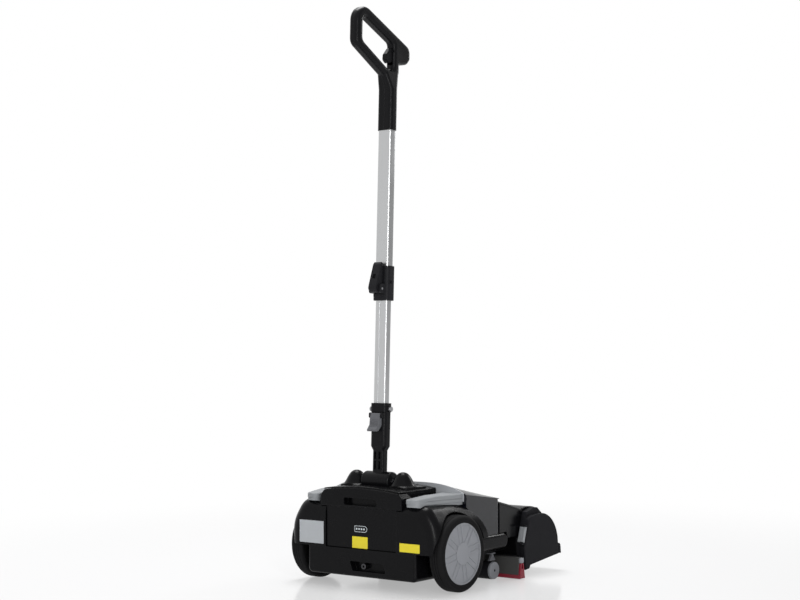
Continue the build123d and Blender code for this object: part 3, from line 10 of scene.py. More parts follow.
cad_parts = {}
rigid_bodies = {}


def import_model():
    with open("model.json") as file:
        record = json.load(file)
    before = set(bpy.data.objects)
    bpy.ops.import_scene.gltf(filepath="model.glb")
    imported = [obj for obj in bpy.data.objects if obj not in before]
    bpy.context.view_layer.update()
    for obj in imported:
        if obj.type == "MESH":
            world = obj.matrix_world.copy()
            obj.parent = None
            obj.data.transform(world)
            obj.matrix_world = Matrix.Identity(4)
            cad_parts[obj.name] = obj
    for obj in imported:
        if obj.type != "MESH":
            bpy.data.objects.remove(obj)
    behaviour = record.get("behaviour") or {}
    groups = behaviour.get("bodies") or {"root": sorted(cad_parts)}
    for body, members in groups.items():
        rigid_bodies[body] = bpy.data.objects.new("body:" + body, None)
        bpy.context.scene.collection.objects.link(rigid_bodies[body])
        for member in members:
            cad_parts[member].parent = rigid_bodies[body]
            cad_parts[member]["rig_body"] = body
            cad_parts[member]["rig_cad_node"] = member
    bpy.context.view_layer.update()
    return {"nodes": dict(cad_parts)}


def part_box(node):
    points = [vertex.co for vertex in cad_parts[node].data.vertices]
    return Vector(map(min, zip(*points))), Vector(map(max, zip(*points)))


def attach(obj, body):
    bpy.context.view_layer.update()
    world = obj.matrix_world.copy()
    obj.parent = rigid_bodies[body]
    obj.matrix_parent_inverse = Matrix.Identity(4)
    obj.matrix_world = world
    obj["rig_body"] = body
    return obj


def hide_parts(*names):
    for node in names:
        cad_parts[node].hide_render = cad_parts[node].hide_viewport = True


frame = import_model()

bl_info = {
    "name": "Cordless floor scrubber",
    "version": (1, 0, 0),
    "blender": (4, 5, 0),
    "location": "3D View > Sidebar > Scrubber",
    "description": "Looks of a walk-behind cordless floor scrubber on its packed frame",
    "category": "Object",
}

MM = 0.001
HANDLE_LEAN = radians(2.35)
HANDLE_PIVOT = Vector((0.0, -0.17466, 0.228))
SIDES = (("right", 1.0), ("left", -1.0))
TYRE_GROOVES = (-6 * MM, 0.0, 6 * MM)
TYRE_RINGS = (7.5 * MM, 8.7 * MM, 11.0 * MM, 12.2 * MM)
TUFT_ROOT = 22.5 * MM
BACKING_RADIUS = 24 * MM
GRIP_LIP_DROP = 6 * MM
GAUGE_LENSES = (-11.0 * MM, -4.2 * MM, 2.6 * MM, 9.4 * MM)
RIDGE_HEIGHTS = (121.5, 125.5, 129.5, 133.5)
CAMERA_DISTANCE = 3.5
CAMERA_ASIDE = 0.0332373
CAMERA_BASE = Vector((0.0, -0.15266, 0.5294976))
CAMERA_FOCAL_SHARE = 1573.906 / 800


def linear(code):
    """An sRGB hex colour as linear red, green and blue."""
    shares = [int(code[i:i + 2], 16) / 255 for i in (0, 2, 4)]
    return tuple(s / 12.92 if s <= 0.04045 else ((s + 0.055) / 1.055) ** 2.4 for s in shares)


def colour(name, text, code):
    return FloatVectorProperty(
        name=name, description=text, subtype="COLOR", size=3, min=0, max=1, default=linear(code)
    )


def length(name, text, millimetres):
    return FloatProperty(name=name, description=text, subtype="DISTANCE", unit="LENGTH", default=millimetres * MM)


class ScrubberColours(PropertyGroup):
    body: colour("Body", "Moulded black of the pan, housing, deck and nose", "0B0B0D")
    cheek: colour("Cheek", "Coarser black of the brush cheeks", "1A1A1D")
    handle: colour("Handle", "Black nylon of the grip and socket", "131315")
    clamp: colour("Clamp", "Duller black of the tube clamp and its lever", "1B1B1E")
    cover: colour("Cover", "Light grey of the tank lid and the deck", "B8BBBF")
    grip: colour("Side grip", "Middle grey of the side grips and the cheek latch", "8E9194")
    cap: colour("Cap", "Middle grey of the hub caps and roller caps", "87898E")
    lever: colour("Lever", "Darker grey of the release lever", "646569")
    carrier: colour("Carrier", "Dark grey of the squeegee carrier", "484847")
    tank: colour("Tank", "Smoke tint of the recovery tank", "1C1E28")
    tyre: colour("Tyre", "Rubber of the tyres", "131314")
    # The blade tone is set darker as painted shade, standing in for the carrier's shadow on the blades.
    blade: colour("Blade", "Red polyurethane of the squeegee blades", "7E172A")
    bristle: colour("Bristle", "Nylon of the brush", "2B2D31")
    aluminium: colour("Aluminium", "Anodised metal of the handle tubes", "BDBEBF")
    steel: colour("Steel", "Plated metal of axles, pins and screws", "B4B5B8")
    plate: colour("Plate", "Silver film of the blank rating plate", "B4B8BC")
    patch: colour("Patch", "Yellow film of the blank patches", "EEDC1C")
    lamp: colour("Gauge lamp", "White print and lenses of the charge gauge", "DDE6EA")
    floor: colour("Floor", "Pale floor", "F4F4F5")


class ScrubberSizes(PropertyGroup):
    groove_width: length("Groove width", "Width of a groove round the tyre", 1.4)
    groove_depth: length("Groove depth", "Depth of a groove round the tyre", 1.0)
    ring_depth: length("Ring depth", "Depth of the rings in the tyre's side", 0.9)
    shoulder: length("Shoulder", "Rounding of the tyre's shoulder", 7.0)
    bore: length("Bore", "Radius of the hub in the tyre", 60.0)
    cap_seat: length("Cap seat", "Radius of the tyre's recess round the hub cap", 66.3)
    cap_seat_depth: length("Cap seat depth", "Depth of the tyre's recess round the hub cap", 4.0)
    tuft_columns: IntProperty(name="Tuft columns", description="Tufts along the brush", default=26, min=2)
    tuft_rows: IntProperty(name="Tuft rows", description="Tufts round the brush", default=22, min=3)
    strand: length("Strand", "Thickness of a bristle strand, drawn thicker than nylon so that it shows", 1.5)
    film: length("Film", "Thickness of the stuck-on films", 0.3)
    film_corner: length("Film corner", "Rounding of the films' corners", 1.2)
    edge: length("Edge", "Rounding of the edges of skirts and blades", 0.7)
    ridge: length("Ridge", "Height of the release lever's thumb ridges", 1.0)


# Materials


def add(tree, kind, sockets, **settings):
    """Adds a node with its settings, and fills its sockets with values or with another node's output."""
    node = tree.nodes.new(kind)
    for name, value in settings.items():
        setattr(node, name, value)
    for name, value in sockets.items():
        if isinstance(value, tuple) and isinstance(value[0], bpy.types.Node):
            tree.links.new(value[0].outputs[value[1]], node.inputs[name])
        else:
            node.inputs[name].default_value = value
    return node


def started(name):
    """A new material with its output and its Object coordinates."""
    finish = bpy.data.materials.new(name)
    finish.use_nodes = True
    finish.node_tree.nodes.clear()
    return finish, finish.node_tree, add(finish.node_tree, "ShaderNodeTexCoord", {})


def finished(tree, shader):
    add(tree, "ShaderNodeOutputMaterial", {"Surface": (shader, 0)})


def shade(tone, factor):
    """A colour made darker or lighter, with alpha."""
    return tuple(min(1.0, c * factor) for c in tone) + (1.0,)


def moulded(name, tone, rough, gloss, grain, depth, wear_and_sheen, rounding=1.2):
    """An injection-moulded plastic. The spark-eroded tool leaves a fine grain that breaks up highlights,
    wide faces drift a little in tone where the melt cooled, and edges are rounded in shading and painted paler:
    partly wear of handling, partly a painted sheen.
    The grain is really about 0.3 mm, and is drawn coarser so that it shows."""
    finish, tree, place = started(name)
    soft = add(tree, "ShaderNodeBevel", {"Radius": rounding * MM}, samples=4)
    flat = add(tree, "ShaderNodeNewGeometry", {})
    turn = add(tree, "ShaderNodeVectorMath", {0: (soft, "Normal"), 1: (flat, "Normal")}, operation="DOT_PRODUCT")
    # Edge mask from the rounded normals: it paints edges paler, partly as wear and partly as a painted sheen of
    # light caught on the edge.
    edge = add(
        tree, "ShaderNodeMapRange",
        {"Value": (turn, "Value"), "From Min": 0.995, "From Max": 0.85, "To Min": 0.0, "To Max": wear_and_sheen},
    )
    drift = add(
        tree, "ShaderNodeTexNoise",
        {"Vector": (place, "Object"), "Scale": 1 / (90 * MM), "Detail": 4.0, "Roughness": 0.6},
    )
    base = add(
        tree, "ShaderNodeMix",
        {0: (drift, "Fac"), 6: shade(tone, 0.86), 7: shade(tone, 1.14)}, data_type="RGBA",
    )
    # Paler edge tone: wear of handling plus a painted sheen.
    wear_and_sheen_tone = add(
        tree, "ShaderNodeMix", {0: (edge, "Result"), 6: (base, 2), 7: shade(tone, 1.9)}, data_type="RGBA"
    )
    tooth = add(
        tree, "ShaderNodeTexNoise", {"Vector": (place, "Object"), "Scale": 1 / (grain * MM), "Detail": 2.0}
    )
    satin = add(
        tree, "ShaderNodeMapRange",
        {"Value": (drift, "Fac"), "From Min": 0.3, "From Max": 0.7, "To Min": rough - 0.05, "To Max": rough + 0.05},
    )
    relief = add(
        tree, "ShaderNodeBump",
        {"Strength": 0.35, "Distance": depth * MM, "Height": (tooth, "Fac"), "Normal": (soft, "Normal")},
    )
    shader = add(
        tree, "ShaderNodeBsdfPrincipled",
        {
            "Base Color": (wear_and_sheen_tone, 2), "Roughness": (satin, "Result"), "Normal": (relief, "Normal"),
            "IOR": 1.5, "Specular IOR Level": gloss,
        },
    )
    finished(tree, shader)
    return finish


def smoky_polycarbonate(tone):
    """Blow-moulded smoke-tinted polycarbonate: glossy, and dark where two walls overlap, with faint flow streaks
    down the wall and a slight ripple that bends the reflections."""
    finish, tree, place = started("smoky_polycarbonate_moulded")
    fall = add(tree, "ShaderNodeMapping", {"Vector": (place, "Object"), "Scale": (1.0, 1.0, 0.15)})
    streak = add(tree, "ShaderNodeTexNoise", {"Vector": (fall, "Vector"), "Scale": 1 / (14 * MM), "Detail": 3.0})
    tint = add(
        tree, "ShaderNodeMix",
        {0: (streak, "Fac"), 6: shade(tone, 0.85), 7: shade(tone, 1.15)}, data_type="RGBA",
    )
    haze = add(
        tree, "ShaderNodeMapRange", {"Value": (streak, "Fac"), "To Min": 0.1, "To Max": 0.24}
    )
    ripple = add(tree, "ShaderNodeTexNoise", {"Vector": (place, "Object"), "Scale": 1 / (40 * MM), "Detail": 1.0})
    relief = add(tree, "ShaderNodeBump", {"Strength": 0.25, "Distance": 1.2 * MM, "Height": (ripple, "Fac")})
    shader = add(
        tree, "ShaderNodeBsdfPrincipled",
        {
            "Base Color": (tint, 2), "Roughness": (haze, "Result"), "Normal": (relief, "Normal"),
            "IOR": 1.58, "Specular IOR Level": 0.14, "Transmission Weight": 0.65,
        },
    )
    finished(tree, shader)
    return finish


def rubber(name, tone, rough, grain, bloom):
    """Vulcanised rubber: dull and dark, with a dusty bloom in patches and a fine pitted skin from the mould."""
    finish, tree, place = started(name)
    dust = add(
        tree, "ShaderNodeTexNoise",
        {"Vector": (place, "Object"), "Scale": 1 / (35 * MM), "Detail": 5.0, "Roughness": 0.65},
    )
    patchy = add(
        tree, "ShaderNodeMapRange",
        {"Value": (dust, "Fac"), "From Min": 0.4, "From Max": 0.75, "To Max": bloom},
    )
    base = add(
        tree, "ShaderNodeMix",
        {0: (patchy, "Result"), 6: shade(tone, 0.9), 7: shade(tone, 2.4)}, data_type="RGBA",
    )
    pits = add(tree, "ShaderNodeTexNoise", {"Vector": (place, "Object"), "Scale": 1 / (grain * MM), "Detail": 3.0})
    dull = add(
        tree, "ShaderNodeMapRange", {"Value": (dust, "Fac"), "To Min": rough - 0.1, "To Max": rough + 0.1}
    )
    relief = add(tree, "ShaderNodeBump", {"Strength": 0.4, "Distance": 0.25 * MM, "Height": (pits, "Fac")})
    shader = add(
        tree, "ShaderNodeBsdfPrincipled",
        {
            "Base Color": (base, 2), "Roughness": (dull, "Result"), "Normal": (relief, "Normal"),
            "IOR": 1.52, "Specular IOR Level": 0.1,
        },
    )
    finished(tree, shader)
    return finish


def extruded_aluminium(tone):
    """Anodised aluminium drawn through a die: satin metal with fine streaks along the tube, a little paler and
    duller in turn. Die lines are near 0.1 mm, and are drawn at 1.5 mm so that they show."""
    finish, tree, place = started("anodised_aluminium_extruded")
    along = add(
        tree, "ShaderNodeMapping",
        {"Vector": (place, "Object"), "Rotation": (HANDLE_LEAN, 0.0, 0.0), "Scale": (1.0, 1.0, 0.004)},
    )
    lines = add(
        tree, "ShaderNodeTexNoise",
        {"Vector": (along, "Vector"), "Scale": 1 / (1.5 * MM), "Detail": 4.0, "Roughness": 0.7},
    )
    cloud = add(tree, "ShaderNodeTexNoise", {"Vector": (place, "Object"), "Scale": 1 / (120 * MM), "Detail": 2.0})
    drawn = add(
        tree, "ShaderNodeMix",
        {0: (lines, "Fac"), 6: shade(tone, 0.93), 7: shade(tone, 1.05)}, data_type="RGBA",
    )
    satin = add(tree, "ShaderNodeMapRange", {"Value": (lines, "Fac"), "To Min": 0.34, "To Max": 0.44})
    dulled = add(
        tree, "ShaderNodeMath", {0: (satin, "Result"), 1: (cloud, "Fac"), 2: 0.1}, operation="MULTIPLY_ADD"
    )
    relief = add(tree, "ShaderNodeBump", {"Strength": 0.2, "Distance": 0.05 * MM, "Height": (lines, "Fac")})
    shader = add(
        tree, "ShaderNodeBsdfPrincipled",
        {
            "Base Color": (drawn, 2), "Roughness": (dulled, "Value"), "Normal": (relief, "Normal"),
            "Metallic": 1.0,
        },
    )
    finished(tree, shader)
    return finish


def plated_steel(name, tone, rough):
    """Zinc-plated turned steel: bright, with faint turning marks round it and a slightly cloudy plating."""
    finish, tree, place = started(name)
    turned = add(tree, "ShaderNodeMapping", {"Vector": (place, "Object"), "Scale": (1.0, 0.05, 0.05)})
    marks = add(tree, "ShaderNodeTexNoise", {"Vector": (turned, "Vector"), "Scale": 1 / (1.0 * MM), "Detail": 3.0})
    cloud = add(tree, "ShaderNodeTexNoise", {"Vector": (place, "Object"), "Scale": 1 / (9 * MM), "Detail": 4.0})
    plating = add(
        tree, "ShaderNodeMix",
        {0: (cloud, "Fac"), 6: shade(tone, 0.75), 7: shade(tone, 1.1)}, data_type="RGBA",
    )
    polish = add(
        tree, "ShaderNodeMapRange", {"Value": (marks, "Fac"), "To Min": rough - 0.08, "To Max": rough + 0.12}
    )
    relief = add(tree, "ShaderNodeBump", {"Strength": 0.2, "Distance": 0.05 * MM, "Height": (marks, "Fac")})
    shader = add(
        tree, "ShaderNodeBsdfPrincipled",
        {
            "Base Color": (plating, 2), "Roughness": (polish, "Result"), "Normal": (relief, "Normal"),
            "Metallic": 1.0,
        },
    )
    finished(tree, shader)
    return finish


def cast_polyurethane(tone):
    """Cast polyurethane sheet: a waxy red that lets a little light in at its thin edge, with a wiped sheen."""
    finish, tree, place = started("red_polyurethane_cast")
    wiped = add(tree, "ShaderNodeMapping", {"Vector": (place, "Object"), "Scale": (1.0, 1.0, 0.2)})
    smear = add(tree, "ShaderNodeTexNoise", {"Vector": (wiped, "Vector"), "Scale": 1 / (8 * MM), "Detail": 4.0})
    base = add(
        tree, "ShaderNodeMix",
        {0: (smear, "Fac"), 6: shade(tone, 0.75), 7: shade(tone, 1.25)}, data_type="RGBA",
    )
    sheen = add(tree, "ShaderNodeMapRange", {"Value": (smear, "Fac"), "To Min": 0.32, "To Max": 0.55})
    relief = add(tree, "ShaderNodeBump", {"Strength": 0.2, "Distance": 0.2 * MM, "Height": (smear, "Fac")})
    shader = add(
        tree, "ShaderNodeBsdfPrincipled",
        {
            "Base Color": (base, 2), "Roughness": (sheen, "Result"), "Normal": (relief, "Normal"), "IOR": 1.5,
            "Subsurface Weight": 0.15, "Subsurface Scale": 2 * MM, "Subsurface Radius": (1.0, 0.25, 0.2),
        },
    )
    finished(tree, shader)
    return finish


def drawn_nylon(tone):
    """Drawn nylon filament: smooth dark strands with a waxy sheen, paler towards the worn tips, and no two
    tufts quite alike."""
    finish, tree, place = started("nylon_filament_drawn")
    tufts = add(tree, "ShaderNodeTexNoise", {"Vector": (place, "Object"), "Scale": 1 / (11 * MM), "Detail": 3.0})
    base = add(
        tree, "ShaderNodeMix",
        {0: (tufts, "Fac"), 6: shade(tone, 0.55), 7: shade(tone, 1.6)}, data_type="RGBA",
    )
    waxy = add(tree, "ShaderNodeMapRange", {"Value": (tufts, "Fac"), "To Min": 0.35, "To Max": 0.6})
    shader = add(
        tree, "ShaderNodeBsdfPrincipled",
        {"Base Color": (base, 2), "Roughness": (waxy, "Result"), "IOR": 1.53, "Specular IOR Level": 0.35},
    )
    finished(tree, shader)
    return finish


def printed_film(name, tone, rough, metal):
    """Polyester label film: flat colour under a thin clear coat, with a faint brushed grain, a little lifted dirt
    and scuffs that dull the coat."""
    finish, tree, place = started(name)
    brushed = add(tree, "ShaderNodeMapping", {"Vector": (place, "Object"), "Scale": (0.06, 1.0, 1.0)})
    grain = add(tree, "ShaderNodeTexNoise", {"Vector": (brushed, "Vector"), "Scale": 1 / (1.2 * MM), "Detail": 3.0})
    scuff = add(
        tree, "ShaderNodeTexNoise",
        {"Vector": (place, "Object"), "Scale": 1 / (16 * MM), "Detail": 6.0, "Roughness": 0.7},
    )
    base = add(
        tree, "ShaderNodeMix",
        {0: (scuff, "Fac"), 6: shade(tone, 0.88), 7: shade(tone, 1.08)}, data_type="RGBA",
    )
    streaked = add(
        tree, "ShaderNodeMix",
        {0: (grain, "Fac"), 6: (base, 2), 7: shade(tone, 0.94)}, data_type="RGBA",
    )
    dull = add(
        tree, "ShaderNodeMapRange", {"Value": (scuff, "Fac"), "To Min": rough - 0.08, "To Max": rough + 0.14}
    )
    relief = add(tree, "ShaderNodeBump", {"Strength": 0.12, "Distance": 0.05 * MM, "Height": (grain, "Fac")})
    shader = add(
        tree, "ShaderNodeBsdfPrincipled",
        {
            "Base Color": (streaked, 2), "Roughness": (dull, "Result"), "Normal": (relief, "Normal"),
            "Metallic": metal, "Coat Weight": 0.2, "Coat Roughness": 0.2,
        },
    )
    finished(tree, shader)
    return finish


def finishes(tones):
    """The object's materials, by the record's slot where there is one, and by their own names."""
    return {
        "body_black": moulded("black_abs_moulded", tones.body, 0.26, 0.1, 2.2, 0.04, 0.5, 2.0),
        "cheek_black": moulded("black_polypropylene_textured", tones.cheek, 0.62, 0.08, 2.6, 0.22, 0.4),
        "grip_black": moulded("black_nylon_glass_filled", tones.handle, 0.28, 0.1, 2.0, 0.05, 0.5, 2.0),
        "clamp_black": moulded("black_nylon_moulded", tones.clamp, 0.45, 0.12, 2.2, 0.1, 0.5),
        "hub_black": moulded("black_polypropylene_moulded", tones.cheek, 0.5, 0.06, 2.4, 0.12, 0.3),
        "carrier_grey": moulded("dark_grey_polypropylene_moulded", tones.carrier, 0.5, 0.12, 2.4, 0.12, 0.3),
        "cover_grey": moulded("light_grey_abs_moulded", tones.cover, 0.38, 0.3, 2.2, 0.08, 0.12),
        "grip_grey": moulded("middle_grey_abs_moulded", tones.grip, 0.42, 0.3, 2.2, 0.10, 0.12),
        "cap_grey": moulded("grey_polypropylene_moulded", tones.cap, 0.45, 0.25, 2.2, 0.10, 0.12),
        "lever_grey": moulded("dark_grey_acetal_moulded", tones.lever, 0.45, 0.25, 2.0, 0.10, 0.15),
        "tank_white": moulded("natural_polyethylene_moulded", linear("D8D8D2"), 0.45, 0.4, 3.0, 0.15, 0.1),
        "gauge": moulded("dark_acrylic_window", linear("08090B"), 0.18, 0.2, 4.0, 0.02, 0.1),
        "smoky": smoky_polycarbonate(tones.tank),
        "tyre": rubber("tyre_rubber_vulcanised", tones.tyre, 0.68, 2.4, 0.25),
        "dark_rubber": rubber("skirt_rubber_moulded", linear("171718"), 0.6, 2.0, 0.25),
        "belt": rubber("belt_rubber_ribbed", linear("151516"), 0.65, 1.6, 0.2),
        "aluminium": extruded_aluminium(tones.aluminium),
        "steel": plated_steel("zinc_plated_steel_turned", tones.steel, 0.3),
        "dark_steel": plated_steel("blackened_steel_turned", linear("1E1E20"), 0.4),
        "motor": plated_steel("steel_can_painted", linear("5C5E62"), 0.45),
        "brass": plated_steel("nickel_contact_plated", linear("4C4C4E"), 0.4),
        "red_rubber": cast_polyurethane(tones.blade),
        "bristle": drawn_nylon(tones.bristle),
        "plate": printed_film("silver_polyester_film", tones.plate, 0.4, 0.25),
        "patch": printed_film("yellow_vinyl_film", tones.patch, 0.45, 0.0),
        "lamp": printed_film("white_print_and_lens", tones.lamp, 0.3, 0.0),
    }


OWN_FINISH = {
    "cheek_right": "cheek_black", "cheek_left": "cheek_black", "squeegee_carrier": "carrier_grey",
    "front_skirt": "cheek_black", "release_lever": "lever_grey", "grip_screws": "dark_steel",
    "clamp_body": "clamp_black", "clamp_lever": "clamp_black", "roller_brackets": "lever_grey",
    "squeegee_end_clips": "cap_grey",
}
MADE = {}


# Modelling


def nothing_selected():
    """Clears the selection, so that an operator acts only on what is picked next."""
    if bpy.context.object is not None and bpy.context.object.mode != "OBJECT":
        bpy.ops.object.mode_set(mode="OBJECT")
    bpy.ops.object.select_all(action="DESELECT")


def take_up(piece):
    nothing_selected()
    piece.select_set(True)
    bpy.context.view_layer.objects.active = piece


def named(name):
    """The piece that was just added, with its place moved into its mesh."""
    piece = bpy.context.object
    piece.name = name
    piece.data.name = name
    bpy.ops.object.transform_apply(location=True, rotation=True, scale=True)
    return piece


def pick(piece, kind, test):
    """In edit mode, selects the faces, edges or corners that pass a test of place or normal. Returns how many."""
    bpy.ops.mesh.select_mode(type="FACE" if kind == "faces" else "EDGE" if kind == "edges" else "VERT")
    bpy.ops.mesh.select_all(action="DESELECT")
    mesh = bmesh.from_edit_mesh(piece.data)
    mesh.faces.ensure_lookup_table()
    chosen = [part for part in getattr(mesh, kind) if test(part)]
    for part in chosen:
        part.select_set(True)
    bmesh.update_edit_mesh(piece.data)
    return len(chosen)


def copied(node, name):
    """A merged copy of a CAD node's mesh, to be shaped further."""
    take_up(frame["nodes"][node])
    bpy.ops.object.duplicate()
    piece = bpy.context.object
    bpy.ops.object.parent_clear(type="CLEAR_KEEP_TRANSFORM")
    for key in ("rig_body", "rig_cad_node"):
        del piece[key]
    piece.name = piece.data.name = name
    piece.material_slots[0].link = "DATA"
    bpy.ops.mesh.customdata_custom_splitnormals_clear()
    bpy.ops.object.mode_set(mode="EDIT")
    bpy.ops.mesh.select_all(action="SELECT")
    bpy.ops.mesh.remove_doubles(threshold=1e-5)
    bpy.ops.mesh.dissolve_limited(angle_limit=radians(1.0))
    bpy.ops.mesh.normals_make_consistent(inside=False)
    bpy.ops.object.mode_set(mode="OBJECT")
    return piece


def joined(pieces, name):
    """Several pieces as one mesh."""
    nothing_selected()
    for piece in pieces:
        piece.select_set(True)
    bpy.context.view_layer.objects.active = pieces[0]
    bpy.ops.object.join()
    whole = bpy.context.object
    whole.name = whole.data.name = name
    return whole


def apply_all(piece):
    take_up(piece)
    for modifier in list(piece.modifiers):
        bpy.ops.object.modifier_apply(modifier=modifier.name)


def settle(piece, body, finish, nodes=(), angle=35.0):
    """Shades a finished piece, gives it its material and hangs it on its body."""
    take_up(piece)
    bpy.ops.object.transform_apply(location=True, rotation=True, scale=True)
    bpy.ops.object.shade_smooth_by_angle(angle=radians(angle))
    piece.data.materials.clear()
    piece.data.materials.append(MADE[finish])
    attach(piece, body)
    if nodes:
        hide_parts(*nodes)
    nothing_selected()


def on_handle(back, up):
    """A place in the handle's own middle plane, from how far in front of its axis and up from its pivot it is."""
    forward = back * cos(HANDLE_LEAN) + up * sin(HANDLE_LEAN)
    rise = up * cos(HANDLE_LEAN) - back * sin(HANDLE_LEAN)
    return HANDLE_PIVOT + Vector((0.0, forward, rise))


class SCRUBBER_OT_finishes(Operator):
    """Makes the materials and gives every carried-over CAD node its own"""
    bl_idname = "scrubber.finishes"
    bl_label = "Finishes"

    def execute(self, context):
        MADE.update(finishes(context.scene.scrubber_colours))
        for name, node in frame["nodes"].items():
            slot = node.material_slots[0]
            kind = OWN_FINISH.get(name, slot.material.name)
            if kind not in MADE:
                raise RuntimeError(f"{name} has no finish for {kind}")
            slot.link = "OBJECT"
            slot.material = MADE[kind]
        return {"FINISHED"}


class SCRUBBER_OT_tyres(Operator):
    """Models a ribbed tyre with ringed sides on each main wheel"""
    bl_idname = "scrubber.tyres"
    bl_label = "Tyres"

    def execute(self, context):
        sizes = context.scene.scrubber_sizes
        for side in ("right", "left"):
            low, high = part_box("tyre_" + side)
            self.model(sizes, side, (low + high) / 2, (high.z - low.z) / 2, (high.x - low.x) / 2)
        return {"FINISHED"}

    def model(self, sizes, side, middle, radius, half):
        nothing_selected()
        bpy.ops.mesh.primitive_cylinder_add(
            vertices=120, radius=radius, depth=2 * half, location=middle, rotation=(0.0, pi / 2, 0.0)
        )
        tyre = named("ribbed_tyre_" + side)
        bpy.ops.object.mode_set(mode="EDIT")

        outward = 1.0 if middle.x > 0 else -1.0

        def out(point):
            return Vector((0.0, point.y - middle.y, point.z - middle.z)).length

        def cap(face):
            return abs(face.normal.x) > 0.9 and out(face.calc_center_median()) < 1 * MM

        rings = [radius - inward for inward in TYRE_RINGS] + [sizes.cap_seat]
        pick(tyre, "faces", cap)
        edge = radius
        for ring in rings:
            bpy.ops.mesh.inset(thickness=edge - ring, use_even_offset=False)
            edge = ring
        pick(tyre, "faces", lambda face: cap(face) and face.normal.x * outward > 0)
        bpy.ops.mesh.extrude_region_move(
            TRANSFORM_OT_translate={"value": (-outward * sizes.cap_seat_depth, 0.0, 0.0)}
        )
        pick(tyre, "faces", cap)
        bpy.ops.mesh.inset(thickness=sizes.cap_seat - sizes.bore, use_even_offset=False)
        bpy.ops.mesh.bridge_edge_loops()
        at_shoulder = radius - 0.1 * MM
        pick(
            tyre, "edges",
            lambda line: all(out(v.co) > at_shoulder for v in line.verts)
            and abs(line.verts[0].co.x - line.verts[1].co.x) < 1e-6,
        )
        bpy.ops.mesh.bevel(offset=sizes.shoulder, segments=6, profile=0.5)
        for place in TYRE_GROOVES:
            for border in (-sizes.groove_width / 2, sizes.groove_width / 2):
                bpy.ops.mesh.select_all(action="SELECT")
                bpy.ops.mesh.bisect(plane_co=(middle.x + place + border, 0, 0), plane_no=(1, 0, 0))

        def in_groove(face):
            across = face.calc_center_median().x - middle.x
            near = min(abs(across - place) for place in TYRE_GROOVES)
            return near < sizes.groove_width / 2 and out(face.calc_center_median()) > radius - 1 * MM

        if not pick(tyre, "faces", in_groove):
            raise RuntimeError("the tyre has no groove faces")
        bpy.ops.mesh.extrude_region_shrink_fatten(TRANSFORM_OT_shrink_fatten={"value": -sizes.groove_depth})

        def in_ring(face):
            place = face.calc_center_median()
            flat = abs(place.x - middle.x) > half - 0.1 * MM and abs(face.normal.x) > 0.9
            return flat and any(b < out(place) < a for a, b in ((rings[0], rings[1]), (rings[2], rings[3])))

        pick(tyre, "faces", in_ring)
        bpy.ops.mesh.extrude_region_shrink_fatten(TRANSFORM_OT_shrink_fatten={"value": -sizes.ring_depth})
        bpy.ops.mesh.select_all(action="SELECT")
        bpy.ops.mesh.remove_doubles(threshold=1e-6)
        bpy.ops.mesh.normals_make_consistent(inside=False)
        bpy.ops.object.mode_set(mode="OBJECT")
        settle(tyre, "wheel_" + side, "tyre", ("tyre_" + side,))


